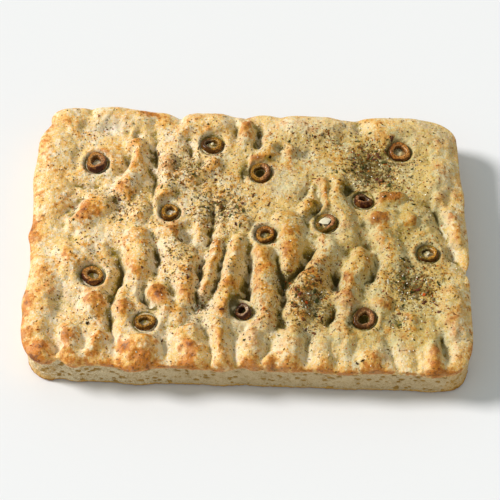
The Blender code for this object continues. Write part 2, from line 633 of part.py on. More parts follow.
def ring_matrix(ring: OliveRing) -> Matrix:
    """Place of a ring: on the dimple's floor, tilted so that its face looks towards facing."""
    floor = float(crust_height(np.array([ring.x]), np.array([ring.y]))[0])
    place = Matrix.Translation((ring.x, ring.y, floor + RING_LIFT - ring.sink))
    swing = Matrix.Rotation(math.radians(ring.facing), 4, "Z")
    lean = Matrix.Rotation(math.radians(ring.tilt), 4, "Y")
    back = Matrix.Rotation(math.radians(-ring.facing), 4, "Z")
    size = Matrix.Diagonal((ring.size, ring.size * ring.squash, 1.0, 1.0))
    return place @ swing @ lean @ back @ size


def add_ring(name: str, ring: OliveRing, grow: float, parent):
    item = bpy.data.objects.new(name, ring_mesh(name, grow))
    item.data.transform(ring_matrix(ring))
    item.parent = parent
    return item


def cut_ring_seats(bread, parent) -> None:
    """Press each ring's seat into the bread, a little larger than the ring."""
    seats = bpy.data.collections.new("ring_seats")
    bpy.context.scene.collection.children.link(seats)
    for number, ring in enumerate(OLIVE_RINGS, start=1):
        cutter = add_ring(f"seat_{number:02d}", ring, SEAT_GAP, parent)
        cutter.hide_render = True
        cutter.display_type = "WIRE"
        seats.objects.link(cutter)
    join_collection(bread, seats, "DIFFERENCE", "EXACT")


def join_collection(bread, group, operation: str, solver: str) -> None:
    """One Boolean with a whole collection, applied, after which the collection's objects go."""
    boolean = bread.modifiers.new(operation.lower(), "BOOLEAN")
    boolean.operation = operation
    boolean.operand_type = "COLLECTION"
    boolean.collection = group
    boolean.solver = solver
    apply_modifiers(bread)
    for item in list(group.objects):
        bpy.data.objects.remove(item, do_unlink=True)
    bpy.data.collections.remove(group)


def herb_chance(x: float, y: float) -> float:
    """How likely a flake stays at a place: some everywhere, most in the herb patches."""
    thick = max(math.exp(-((x - px) ** 2 + (y - py) ** 2) / reach**2) for px, py, reach in HERB_PATCHES)
    return 0.0 if x < BARE_WEST_EDGE else PLAIN_HERB_SHARE + (1.0 - PLAIN_HERB_SHARE) * thick


def flake_places():
    """Seeded places for the flakes, clear of the rings, of the edge and of each other."""
    draw = np.random.default_rng(FLAKE_SEED)
    places = []
    while len(places) < FLAKE_COUNT:
        x = draw.uniform(-HALF_WIDTH, HALF_WIDTH)
        y = draw.uniform(-HALF_DEPTH, HALF_DEPTH)
        keep = draw.uniform() < herb_chance(x, y)
        distance, _, _ = plan_distance(np.array([x]), np.array([y]))
        inside = distance[0] < -FLAKE_EDGE_CLEARANCE
        off_rings = all(math.hypot(x - r.x, y - r.y) > FLAKE_RING_CLEARANCE for r in OLIVE_RINGS)
        apart = all(math.hypot(x - px, y - py) > FLAKE_SPACING for px, py in places)
        if keep and inside and off_rings and apart:
            places.append((x, y))
    return places


def flake_mesh(length: float):
    """A small flattened lens of few sides, a little wider than thick."""
    work = bmesh.new()
    bmesh.ops.create_uvsphere(work, u_segments=FLAKE_SIDES, v_segments=3, radius=0.5)
    bmesh.ops.rotate(work, verts=work.verts[:], cent=(0, 0, 0), matrix=Matrix.Rotation(math.pi / 2, 3, "Y"))
    bmesh.ops.scale(work, verts=work.verts[:], vec=(length, FLAKE_WIDTH, FLAKE_THICKNESS))
    mesh = bpy.data.meshes.new("flake")
    work.to_mesh(mesh)
    work.free()
    return mesh


def fuse_flakes(bread, parent) -> None:
    """Lay the herb flakes on the crust, half sunk, and fuse them to it."""
    work = bmesh.new()
    work.from_mesh(bread.data)
    crust = BVHTree.FromBMesh(work)
    work.free()
    draw = np.random.default_rng(FLAKE_SEED + 1)
    flakes = bpy.data.collections.new("herb_flakes")
    bpy.context.scene.collection.children.link(flakes)
    for x, y in flake_places():
        hit, normal, _, _ = crust.ray_cast(Vector((x, y, 1.0)), Vector((0, 0, -1)))
        flake = bpy.data.objects.new("flake", flake_mesh(draw.uniform(*FLAKE_LENGTHS)))
        lie = normal.to_track_quat("Z", "Y").to_matrix().to_4x4()
        spin = Matrix.Rotation(draw.uniform(0.0, math.pi), 4, "Z")
        flake.data.transform(Matrix.Translation(hit) @ lie @ spin)
        flake.parent = parent
        flakes.objects.link(flake)
    join_collection(bread, flakes, "UNION", "MANIFOLD")


def drop_scraps(mesh) -> None:
    """Keep the largest connected body of the mesh, and drop any loose scrap."""
    work = bmesh.new()
    work.from_mesh(mesh)
    unseen = set(work.verts)
    bodies = []
    while unseen:
        queue = [unseen.pop()]
        body = list(queue)
        while queue:
            vert = queue.pop()
            for edge in vert.link_edges:
                other = edge.other_vert(vert)
                if other in unseen:
                    unseen.remove(other)
                    queue.append(other)
                    body.append(other)
        bodies.append(body)
    bodies.sort(key=len)
    for body in bodies[:-1]:
        bmesh.ops.delete(work, geom=body, context="VERTS")
    work.to_mesh(mesh)
    work.free()


def weld_close_corners(mesh) -> None:
    """Merge corners that the Booleans left almost on one spot, and split every face into triangles."""
    work = bmesh.new()
    work.from_mesh(mesh)
    bmesh.ops.triangulate(work, faces=work.faces[:])
    bmesh.ops.remove_doubles(work, verts=work.verts[:], dist=WELD_DISTANCE)
    bmesh.ops.dissolve_degenerate(work, edges=work.edges[:], dist=WELD_DISTANCE)
    bmesh.ops.triangulate(work, faces=work.faces[:])
    work.to_mesh(mesh)
    work.free()


def make_material(name: str, colour: tuple, roughness: float):
    material = bpy.data.materials.new(name)
    material.use_nodes = True
    shader = material.node_tree.nodes["Principled BSDF"]
    shader.inputs["Base Color"].default_value = (*colour, 1.0)
    shader.inputs["Roughness"].default_value = roughness
    shader.inputs["Metallic"].default_value = 0.0
    return material


def finish(item, material, sharp_angle: float) -> None:
    item.data.materials.clear()
    item.data.materials.append(material)
    item.data.shade_smooth()
    item.data.set_sharp_from_angle(angle=math.radians(sharp_angle))


def centre_on_origin(parent, bread) -> None:
    """Move the whole loaf so that the middle of its box stands over the origin."""
    corners = np.array([vert.co[:] for vert in bread.data.vertices])
    middle = (corners.min(axis=0) + corners.max(axis=0)) / 2
    parent.location = (-middle[0], -middle[1], 0.0)


def main() -> None:
    clear_scene()
    loaf = bpy.data.objects.new("loaf", None)
    bpy.context.scene.collection.objects.link(loaf)
    bread = make_bread(loaf)
    cut_ring_seats(bread, loaf)
    fuse_flakes(bread, loaf)
    drop_scraps(bread.data)
    weld_close_corners(bread.data)
    finish(bread, make_material("crust", (0.66, 0.44, 0.18), 0.75), 50.0)
    olive = make_material("olive", (0.16, 0.09, 0.03), 0.35)
    for number, ring in enumerate(OLIVE_RINGS, start=1):
        item = add_ring(f"olive_ring_{number:02d}", ring, 0.0, loaf)
        bpy.context.scene.collection.objects.link(item)
        finish(item, olive, 40.0)
    centre_on_origin(loaf, bread)
    bpy.context.view_layer.update()


main()
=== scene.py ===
"""The looks of a gluten-free focaccia: baked crust, crumb sides, olive rings, herbs, pepper and chilli.

The crust follows the same named swells, furrows, dimples and lumps as the solid, in the loaf's own plan
coordinates, and then gets finer relief. Lengths are metres, except in the tables' rows, which are in
millimetres. Colours are red, green and blue from 0 to 1 in linear light.
"""

import logging
import math
from dataclasses import dataclass
from enum import Enum
from typing import NamedTuple

import bpy
import numpy as np
from mathutils import Matrix, Vector


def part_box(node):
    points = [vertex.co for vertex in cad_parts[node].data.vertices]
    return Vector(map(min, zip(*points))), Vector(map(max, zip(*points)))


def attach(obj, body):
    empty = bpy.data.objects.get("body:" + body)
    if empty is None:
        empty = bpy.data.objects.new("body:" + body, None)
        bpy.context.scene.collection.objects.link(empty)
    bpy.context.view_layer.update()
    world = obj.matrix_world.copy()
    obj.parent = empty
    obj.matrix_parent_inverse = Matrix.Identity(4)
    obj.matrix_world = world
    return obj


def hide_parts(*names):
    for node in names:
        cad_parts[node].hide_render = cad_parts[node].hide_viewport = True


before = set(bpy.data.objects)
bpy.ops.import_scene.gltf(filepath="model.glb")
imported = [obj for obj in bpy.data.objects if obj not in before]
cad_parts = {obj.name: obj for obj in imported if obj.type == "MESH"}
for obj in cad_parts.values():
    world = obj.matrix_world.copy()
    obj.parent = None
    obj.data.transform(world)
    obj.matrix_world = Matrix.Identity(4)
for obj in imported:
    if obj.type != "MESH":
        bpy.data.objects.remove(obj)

Array = np.ndarray
Draw = np.random.Generator
Piece = bpy.types.Object
Material = bpy.types.Material
Node = bpy.types.Node
NodeTree = bpy.types.NodeTree
Socket = bpy.types.NodeSocket
Shift = tuple[float, float]

MM = 0.001
HALF_WIDTH = 0.1475
HALF_DEPTH = 0.103
LATTICE_TURN = 0.4
LATTICE_REACH = 3 * HALF_WIDTH
FINE_SEED = 60
log = logging.getLogger("focaccia")


class Swell(NamedTuple):
    """A bulge or, where outward is negative, a notch of the outline."""

    x: float
    y: float
    outward: float
    reach: float


class Crease(NamedTuple):
    """A furrow along a path. lean above 0 makes its east wall steep and its west wall broad."""

    path: tuple
    depth: float
    reach: float
    lean: float = 0.0


class Dimple(NamedTuple):
    """A round-bottomed dent with its half widths along x and y."""

    x: float
    y: float
    half_x: float
    half_y: float
    depth: float


class Lump(NamedTuple):
    """A rounded rise along a path, or round one spot where the path has one point."""

    path: tuple
    height: float
    reach: float


class Patch(NamedTuple):
    """A soft spot on the crust: its place, its half widths and how strong it is in the middle."""

    x: float
    y: float
    half_x: float
    half_y: float
    strength: float


class Hole(NamedTuple):
    """The crust in a ring's hole: its depth, below 0 where it is raised, its flour and its painted shade.
    """

    depth: float
    flour: float
    shade: float


class Centre(Enum):
    """What shows through the hole of an olive ring."""

    PALE = Hole(-0.0014, 0.9, 0.2)
    GREEN = Hole(-0.0008, 0.0, 1.5)
    DARK = Hole(0.0022, 0.0, 2.0)


class OliveRing(NamedTuple):
    """Where a ring lies, which way its face looks (compass from +x), its shape and its colours.

    The flesh turns from face to blush towards the compass direction blush_to.
    """

    x: float
    y: float
    sink: float
    facing: float
    tilt: float
    size: float
    squash: float
    skin: str
    face: str
    blush: str
    blush_to: float
    centre: Centre
    warp: float = 1.0


class Bit(NamedTuple):
    """A loose bit: place, rise over the crust, length, width, thickness, turn in degrees, colour."""

    x: float
    y: float
    rise: float
    length: float
    width: float
    thick: float
    turn: float
    colour: str


def metres(value: float | tuple) -> float | tuple:
    """A length in millimetres as metres, or every length of a tuple."""
    return tuple(map(metres, value)) if isinstance(value, tuple) else round(value * MM, 7)


def table(kind: type, lengths: int, *rows: tuple) -> tuple:
    """Make rows of one kind from plain values, the first of which are lengths.

    Args:
        kind: Kind of the rows.
        lengths: How many of a row's first values are lengths in millimetres.
        rows: The plain values.

    Returns:
        The rows, with their lengths in metres.
    """
    return tuple(kind(*metres(row[:lengths]), *row[lengths:]) for row in rows)


SWELLS = table(
    Swell, 4,
    (-149, 89, -7.5, 9), (-149, 40, 2, 13), (-148, -7, 2.2, 6), (-147, -33, -1.2, 9), (-146, -60, 2.6, 9),
    (-145, -80, 1.6, 10), (-125, 102, 2.2, 11), (-98, 101, 4, 14), (-52, 101, -4.5, 7),
    (-8, 101, -3.5, 9), (20, 101, -2, 6), (68, 101, -3.5, 11), (135, 99, -3, 14), (147, 35, 1.5, 10),
    (148, -5, 1.8, 30), (149, -27, -2.5, 5), (150, -95, -2.5, 12), (-120, -104, -3.2, 5),
    (-110, -104, 1.3, 5), (-71, -104, 3.8, 10), (-15, -104, 1.5, 6), (1, -104, -1.8, 5),
    (66, -104, 1.6, 12), (121, -104, 1.6, 8),
)

CREASES = table(
    Crease, 3,
    # Back left quarter
    (((-142, 84), (-128, 82)), 2, 6), (((-83, 64), (-85, 54), (-89, 42)), 5.5, 8, 0.2),
    (((-67, 80), (-66, 60), (-64, 44), (-66, 12)), 7.5, 12, 0.35),
    (((-118, 34), (-110, 32), (-102, 35)), 4, 7), (((-117, 24), (-119, 14), (-124, 3)), 5, 10, 0.3),
    (((-116, 104), (-114, 92)), 3, 6),
    # Back middle
    (((-52, 101), (-52, 88)), 4, 8), (((-44, 78), (-42, 60)), 4.5, 8), (((-33, 57), (-39, 49)), 4, 8),
    (((-5, 101), (-6, 90)), 3, 8), (((-12, 88), (-10, 74)), 4, 6), (((4, 88), (6, 71)), 7, 10, 0.2),
    (((-2, 56), (-3, 42)), 4.5, 7), (((-12, 27), (-20, 16)), 4, 8),
    (((44, 46), (38, 31), (33, 26)), 3.5, 7), (((48, 39), (49, 25), (45, 12)), 5.5, 6),
    (((55, 39), (56, 27)), 3, 5), (((74, 99), (75, 86)), 4, 8),
    # Right side
    (((122, 34), (127, 20), (133, 1), (140, -16), (147, -27)), 5.5, 10, 0.2),
    (((79, 10), (82, -2)), 3.5, 6), (((78, -2), (86, -16)), 3, 6),
    (((85, -18), (87, -30), (84, -38)), 6.5, 9, 0.3), (((130, -73), (130, -85), (132, -95)), 5, 9),
    # Middle, where the ridges run from front to back
    (((-63, -14), (-60, -28), (-60, -39)), 6, 7, 0.1),
    (((-89, -18), (-84, -34), (-85, -46), (-90, -64)), 6.5, 10, 0.3),
    (((-67, -43), (-67, -55), (-64, -62), (-57, -68)), 6, 7), (((-50, -43), (-45, -56)), 4.5, 6),
    (((-25, 27), (-25, 5), (-26, -20)), 6.5, 9, 0.2),
    (((-26, -20), (-31, -34), (-33, -50), (-32, -64)), 7, 8),
    (((-16, -8), (-17, -23), (-20, -45), (-27, -56)), 5, 7),
    (((2, -12), (1, -36), (1, -54), (-1, -77)), 10, 10, 0.25),
    (((20, -16), (22, -28), (24, -42), (25, -73)), 6.5, 8),
    (((47, -6), (42, -21), (34, -33), (26, -41)), 8, 9), (((58, -26), (60, -38), (61, -47)), 9.5, 8),
    (((60, -56), (55, -70)), 7.5, 8),
    # Front edge, where the furrows run out over the lip
    (((-89, -64), (-87, -76), (-86, -90)), 5.5, 7), (((-86, -88), (-85, -104)), 3, 9),
    (((-105, -86), (-103, -103)), 2.2, 8), (((-52, -79), (-50, -104)), 3.4, 10),
    (((-28, -72), (-23, -84), (-21, -102)), 3.2, 7), (((-4, -79), (-8, -87), (-4, -104)), 3.8, 8),
    (((19, -86), (9, -104)), 3.4, 6), (((46, -77), (41, -92), (41, -104)), 3, 8),
    (((63, -84), (62, -104)), 2.2, 8), (((94, -80), (97, -91), (102, -102)), 3.6, 7),
    (((112, -92), (113, -104)), 3, 6),
)

DIMPLES = table(
    Dimple, 5,
    (-102, 84, 14, 8, 3), (-90, 81, 5, 5, 3.5), (-79, 79, 5, 5, 3), (21, 70, 5, 5, 4.5),
    (37, 66, 7, 6, 4), (-90, 19, 7, 7, 4.5), (-90, -18, 7, 7, 4.5), (-41, -4, 8, 11, 6),
    (85, 56, 18, 22, 4.5), (73, 33, 9, 7, 4), (99, 48, 8, 8, 3), (102, 12, 8, 7, 3),
    (-118, -58, 12, 14, 2.2), (24, -41, 7, 7, 5.5), (43, 10, 7, 8, 6), (-28, -56, 7, 7, 4.5),
    (-123.2, -91.5, 6, 10, 6), (102, -69, 7, 6, 4.5), (112, -40, 16, 17, 3),
)

LUMPS = table(
    Lump, 3,
    # Back left quarter
    (((-132, 90),), 3.5, 14), (((-106, 96), (-80, 94)), 3.5, 12), (((-139, 68), (-138, 20)), 3, 18),
    (((-81, 68), (-77, 55), (-81, 43), (-87, 29)), 4.5, 9), (((-60, 56), (-57, 40), (-60, 24)), 4.5, 9),
    (((-117, 5), (-102, 17)), 4.5, 11), (((-72, 13),), 4, 10),
    # Back middle
    (((-44, 90), (-24, 91)), 4, 13), (((-51, 39), (-37, 46), (-26, 52)), 4, 9), (((-54, -4),), 4, 9),
    (((-7, 93), (-4, 78)), 4, 8), (((5, 58), (13, 65)), 3, 7), (((27, 67),), 3.5, 6),
    (((28, 90), (55, 88)), 3.5, 13), (((-6, 6),), 3.5, 10), (((40, 22), (38, 14)), 4, 7),
    (((51, 41), (52, 18)), 4, 5),
    # Right side
    (((95, 90), (112, 90), (130, 78)), 4, 15), (((60, 38), (63, 16), (66, -6)), 4.5, 10),
    (((91, 28), (101, 31)), 4, 7), (((87, 12), (107, 10)), 4.5, 9), (((128, 36), (132, 55)), 3.5, 12),
    (((139, 13), (141, -2)), 4, 9), (((93, -2), (98, -20)), 4.5, 11), (((91, -55),), 4, 9),
    (((110, -68),), 3.5, 9), (((138, -45), (137, -72)), 4, 11),
    # Middle, ridges between the furrows
    (((-117, -28),), 4, 18), (((-136, -35), (-138, -75)), 3.5, 14), (((-101, -60),), 4, 12),
    (((-75, -10), (-73, -36)), 4.5, 11), (((-81, -64),), 4.5, 9), (((-59, -53), (-53, -65)), 5, 9),
    (((-50, -17), (-40, -30), (-38, -53)), 4.5, 12), (((-20, -12), (-23, -28), (-29, -52)), 4.2, 7),
    (((-5, -14), (-10, -32), (-14, -62)), 5.2, 11), (((10, -20), (12, -42), (13, -70)), 5, 11),
    (((25, 6), (29, -8), (27, -28)), 5, 12), (((54, -12), (43, -38), (34, -64)), 5.5, 12),
    (((77, -20), (70, -38), (67, -52)), 5, 10),
    # Front edge
    (((-132, -98),), 4, 11), (((-115, -84), (-113, -100)), 4, 9),
    (((-108, -103), (-99, -97), (-95, -86)), 3.4, 6), (((-67, -93),), 6, 15), (((-46, -68),), 4, 8),
    (((-37, -83), (-29, -101)), 5, 10), (((-18, -74), (-13, -101)), 4.5, 9),
    (((5, -84), (6, -99)), 4.5, 10), (((17, -100),), 3, 7), (((32, -82), (30, -99)), 4.5, 11),
    (((52, -86), (52, -98)), 3.5, 9), (((64, -74), (64, -90)), 3.5, 9), (((84, -97),), 3.5, 10),
    (((124, -86), (125, -101)), 4.5, 7),
)

OLIVE_RINGS = table(
    OliveRing, 3,
    (-107.5, 53.4, -1.2, 115, 13, 0.99, 1.18, "plum", "tan", "rose", -20, Centre.PALE),
    (-27.7, 71.5, 0.4, 80, 5, 1.01, 0.93, "amber", "ochre", "umber", 175, Centre.GREEN),
    (6.9, 48.4, -0.2, 250, 12, 0.94, 1.14, "amber", "ochre", "rose", 10, Centre.DARK),
    (103.8, 70, 0, 290, 9, 0.98, 1.12, "chestnut", "russet", "tan", -25, Centre.PALE),
    (-53.9, 13.4, 0.4, 90, 4, 0.85, 0.97, "amber", "honey", "ochre", 200, Centre.PALE),
    (11.7, -3.2, 0.4, 200, 4, 0.86, 1.03, "umber", "honey", "russet", 70, Centre.GREEN),
    (52.8, 7.7, 0.4, 180, 13, 0.93, 1.1, "moss", "moss", "rose", -5, Centre.PALE),
    (78.2, 27, 0.6, 70, 20, 0.91, 0.75, "plum", "chestnut", "rose", 200, Centre.DARK, 2.6),
    (121.5, -14.4, 0.4, 190, 9, 0.91, 1, "umber", "moss", "honey", -15, Centre.PALE),
    (-102.3, -39.2, 0, 50, 9, 0.98, 1, "plum", "tan", "honey", 15, Centre.GREEN),
    (-65.3, -73.8, 0.6, 80, 8, 0.94, 0.86, "amber", "ochre", "honey", -20, Centre.GREEN),
    # Ring 12 lies in a ridge's shade: its face is given the dark skin colour plum, painted shade
    (-1.1, -64, -0.2, 165, 26, 0.74, 1, "plum", "plum", "petal", -35, Centre.DARK, 1.5),
    (78.4, -66.7, 0.4, 260, 7, 0.98, 1.08, "umber", "umber", "rose", 5, Centre.DARK),
)

# Colours of olive flesh and skin
OLIVE_COLOURS = {
    "plum": (0.055, 0.012, 0.009),
    "umber": (0.085, 0.034, 0.007),
    "chestnut": (0.055, 0.016, 0.004),
    "amber": (0.105, 0.042, 0.004),
    "tan": (0.54, 0.225, 0.045),
    "ochre": (0.4, 0.185, 0.014),
    "honey": (0.54, 0.25, 0.03),
    "russet": (0.36, 0.125, 0.018),
    "moss": (0.14, 0.102, 0.01),
    "rose": (0.44, 0.185, 0.07),
    "petal": (0.52, 0.33, 0.19),
    "pith": (0.7, 0.6, 0.34),
}

# Spots that baked browner than the rest: tips of lumps, the rim's corners and a few ridge tops
BROWN_PATCHES = table(
    Patch, 4,
    (-58, -55, 7, 12, 0.9), (-36, -92, 6, 10, 1.15), (-79, -96, 5, 10, 1.3), (-64, -101, 10, 6, 0.8),
    (-136, -66, 16, 22, 0.4), (-131, -98, 10, 8, 2.3), (-114, -96, 7, 10, 0.65), (-93, -98, 6, 8, 0.6),
    (-81, -64, 7, 7, 0.6), (-100, -60, 10, 9, 0.6), (125, -95, 6, 10, 1), (27, -12, 8, 12, 0.75),
    (97, 11, 14, 7, 0.85), (96, 29, 10, 5, 1.2), (-110, 10, 10, 7, 1.2), (-89, 27, 8, 7, 0.65),
    (-73, 97, 8, 5, 1.3), (-4, 85, 4, 8, 1.05), (9, 60, 6, 5, 0.7), (27, 67, 5, 4, 0.7),
    (-149, -8, 5, 9, 2.2), (-149, -66, 5, 22, 1.6), (84, -98, 10, 5, 0.8), (49, 98, 12, 5, 0.45),
    (-46, -4, 12, 12, 0.35), (-50, 40, 16, 12, 0.4), (93, -10, 10, 14, 0.45), (67, -40, 9, 16, 0.3),
    (40, -45, 10, 22, 0.4), (-75, -22, 10, 16, 0.4), (-11, -40, 6, 22, 0.08), (12, -42, 6, 14, 0.75),
    (145, 60, 6, 30, 0.18), (148, -60, 6, 30, 0.22), (-117, -25, 14, 12, 0.3),
)

# Pale floury dough: beside the rings, in shallow dips and along the right groove
PALE_PATCHES = table(
    Patch, 4,
    (-102, 84, 12, 7, 0.8), (122, 82, 20, 12, 0.55), (40, 88, 30, 8, 0.5), (132, 45, 8, 22, 0.4),
    (-117, -57, 12, 12, 0.5), (97, -88, 10, 10, 0.8), (12, -83, 14, 10, 0.7), (129, 12, 7, 16, 0.6),
    (134, -80, 10, 14, 0.6), (36, 67, 7, 6, 1), (60, 0, 14, 9, 0.6), (74, -60, 14, 10, 0.6),
    (20, 40, 16, 10, 0.4), (-30, -62, 8, 10, 0.6), (110, 52, 12, 12, 0.4), (50, -85, 20, 10, 0.4),
    (-55, 60, 6, 12, 0.4), (118, -15, 10, 10, 0.5),
)

# Painted shade: dark spots beside the rings and in the deepest furrows
SHADE_PATCHES = table(
    Patch, 4,
    (-4, 47, 4, 8, 1.3), (69, 34, 6, 5.5, 1.8), (45, 17, 4.5, 6.5, 1.7), (-6.5, -60, 4.5, 8.5, 1.5),
    (69, -72, 3.5, 6, 1.6), (94, 67, 3.5, 8, 1.2), (-112, -41, 2.5, 8, 0.5), (-60, -64, 10, 3, 1),
    (26, -40, 5, 7, 1.5), (-102, 42, 6, 3, 0.8), (19, -11, 3.5, 8, 0.9), (56, -2, 7, 3, 1.2),
    (-23, 64, 8, 2.5, 0.7), (129, -16, 3, 7, 0.9), (12, 58, 6, 3, 1),
)

# Where the dried herbs drifted thickly
HERB_PATCHES = table(
    Patch, 4,
    (85, 55, 21, 20, 1), (112, -40, 17, 17, 0.95), (-45, 45, 18, 18, 0.6), (-20, 18, 20, 18, 0.65),
    (42, -56, 16, 22, 0.72), (26, -40, 7, 8, 0.9), (-30, -60, 7, 10, 0.6), (102, -69, 7, 6, 0.6),
    (-85, 18, 14, 12, 0.5), (50, 75, 20, 12, 0.35), (-46, -22, 13, 20, 0.35),
)


def eased(low: float, high: float, value: Array) -> Array:
    """S-curve from 0 at low to 1 at high: three t squared less two t cubed.

    Args:
        low: Value where the curve starts.
        high: Value where it ends; below low for a falling curve.
        value: Values to ease.

    Returns:
        Eased values from 0 to 1.
    """
    part = np.clip((value - low) / (high - low), 0.0, 1.0)
    return part * part * (3.0 - 2.0 * part)


def bell(value: Array, middle: float, reach: float) -> Array:
    """Bell curve: e to the minus square of the distance from the middle, counted in reaches."""
    return np.exp(-(((value - middle) / reach) ** 2))


def from_low(low: float, share: Array) -> Array:
    """A straight rise from low where the share is 0 to 1 where it is 1."""
    return low + (1.0 - low) * share


def waves(turn: Array, *parts: tuple[float, int, float]) -> Array:
    """Sum of sine waves round a loop, each given as its height, its count and its start."""
    return sum(height * np.sin(count * turn + start) for height, count, start in parts)


def lattice_noise(x: Array, y: Array, step: float, seed: int) -> Array:
    """Seeded noise: random values on a turned square lattice, blended by an S-curve between them.

    Args:
        x, y: Places in the plan.
        step: Spacing of the lattice.
        seed: Seed of the random values.

    Returns:
        Noise from -1 to 1.
    """
    turn = LATTICE_TURN * (1 + seed % 3)
    count = int(LATTICE_REACH / step) + 4
    last = count - 1.001
    values = np.random.default_rng(seed).uniform(-1.0, 1.0, (count, count))
    across = np.clip((x * math.cos(turn) + y * math.sin(turn)) / step + count / 2, 0.0, last)
    along = np.clip((y * math.cos(turn) - x * math.sin(turn)) / step + count / 2, 0.0, last)
    column, row = across.astype(int), along.astype(int)
    part_x, part_y = eased(0.0, 1.0, across - column), eased(0.0, 1.0, along - row)
    near = values[column, row] * (1.0 - part_y) + values[column, row + 1] * part_y
    far = values[column + 1, row] * (1.0 - part_y) + values[column + 1, row + 1] * part_y
    return near * (1.0 - part_x) + far * part_x


def patch_strength(x: Array, y: Array, patches: tuple[Patch, ...]) -> Array:
    """Strength of soft spots: each falls off as a bell curve, and the strongest one rules.

    Args:
        x, y: Places in the plan.
        patches: The spots.

    Returns:
        Strength, 0 far from every spot.
    """
    total = np.zeros_like(x)
    for patch in patches:
        squared = ((x - patch.x) / patch.half_x) ** 2 + ((y - patch.y) / patch.half_y) ** 2
        total = np.maximum(total, patch.strength * np.exp(-squared))
    return total


@dataclass(frozen=True)
class Outline:
    """The loaf's plan: a leaning rounded rectangle with swells and notches."""

    half_width: float = HALF_WIDTH
    half_depth: float = HALF_DEPTH
    centre_y: float = -0.0015
    corner: float = 0.018
    lean: float = -0.0325
    corner_samples: int = 60
    run_cuts: int = 200

    @property
    def block(self) -> tuple[float, float]:
        """Half width and half depth of the rectangle between the corners' arcs."""
        return self.half_width - self.corner, self.half_depth - self.corner

    def upright(self, x: Array, y: Array) -> Array:
        """x with the loaf's lean taken out."""
        return x - self.lean * y

    def distance(self, x: Array, y: Array) -> tuple[Array, Array, Array]:
        """Signed distance to the plain outline (inside is negative) and its outward direction.

        Args:
            x, y: Places in the plan.

        Returns:
            The distance and the direction's two parts.
        """
        straight_x = self.upright(x, y)
        straight_y = y - self.centre_y
        over_x = np.abs(straight_x) - self.block[0]
        over_y = np.abs(straight_y) - self.block[1]
        corner = np.hypot(np.maximum(over_x, 0.0), np.maximum(over_y, 0.0))
        distance = corner + np.minimum(np.maximum(over_x, over_y), 0.0) - self.corner
        away_x = np.where(corner > 0.0, np.maximum(over_x, 0.0), (over_x > over_y) * 1.0)
        away_y = np.where(corner > 0.0, np.maximum(over_y, 0.0), (over_x <= over_y) * 1.0)
        length = np.maximum(np.hypot(away_x, away_y), 1e-9)
        return distance, np.sign(straight_x) * away_x / length, np.sign(straight_y) * away_y / length

    def swell(self, x: Array, y: Array) -> Array:
        """How far the outline stands out near each place: a sum of bell curves.

        Args:
            x, y: Places in the plan.

        Returns:
            Outward shift.
        """
        total = np.zeros_like(x)
        for swell in SWELLS:
            squared = ((x - swell.x) ** 2 + (y - swell.y) ** 2) / swell.reach**2
            total += swell.outward * np.exp(-squared)
        return total

    def inset(self, x: Array, y: Array) -> Array:
        """How far each place lies inside the swelled rim."""
        return self.swell(x, y) - self.distance(x, y)[0]

    def loop(self, count: int) -> tuple[Array, Array, Array, Array, Array]:
        """Evenly spaced places once round the rim, anticlockwise: straight runs joined by arcs.

        Args:
            count: How many places.

        Returns:
            x, y, the outward direction's two parts and the swell at each place.
        """
        turn = np.linspace(0.0, math.tau, 4 * self.corner_samples, endpoint=False)
        quarter = np.floor(turn / (math.pi / 2)).astype(int)
        sign_x = np.array([1, -1, -1, 1])[quarter]
        sign_y = np.array([1, 1, -1, -1])[quarter]
        x = self._filled(sign_x * self.block[0] + self.corner * np.cos(turn))
        y = self._filled(sign_y * self.block[1] + self.corner * np.sin(turn) + self.centre_y)
        x = x + self.lean * y
        _, away_x, away_y = self.distance(x, y)
        swell = self.swell(x, y)
        x, y = x + away_x * swell, y + away_y * swell
        step = np.hypot(np.roll(x, -1) - x, np.roll(y, -1) - y)
        way = np.concatenate([[0.0], np.cumsum(step)])
        even = np.linspace(0.0, way[-1], count, endpoint=False)
        found = [np.interp(even, way, np.append(part, part[0])) for part in (x, y, away_x, away_y, swell)]
        length = np.hypot(found[2], found[3])
        return found[0], found[1], found[2] / length, found[3] / length, found[4]

    def _filled(self, values: Array) -> Array:
        """The loop's values with places added along the runs, by cutting each step finely."""
        part = np.arange(self.run_cuts) / self.run_cuts
        return (values[:, None] * (1.0 - part) + np.roll(values, -1)[:, None] * part).reshape(-1)


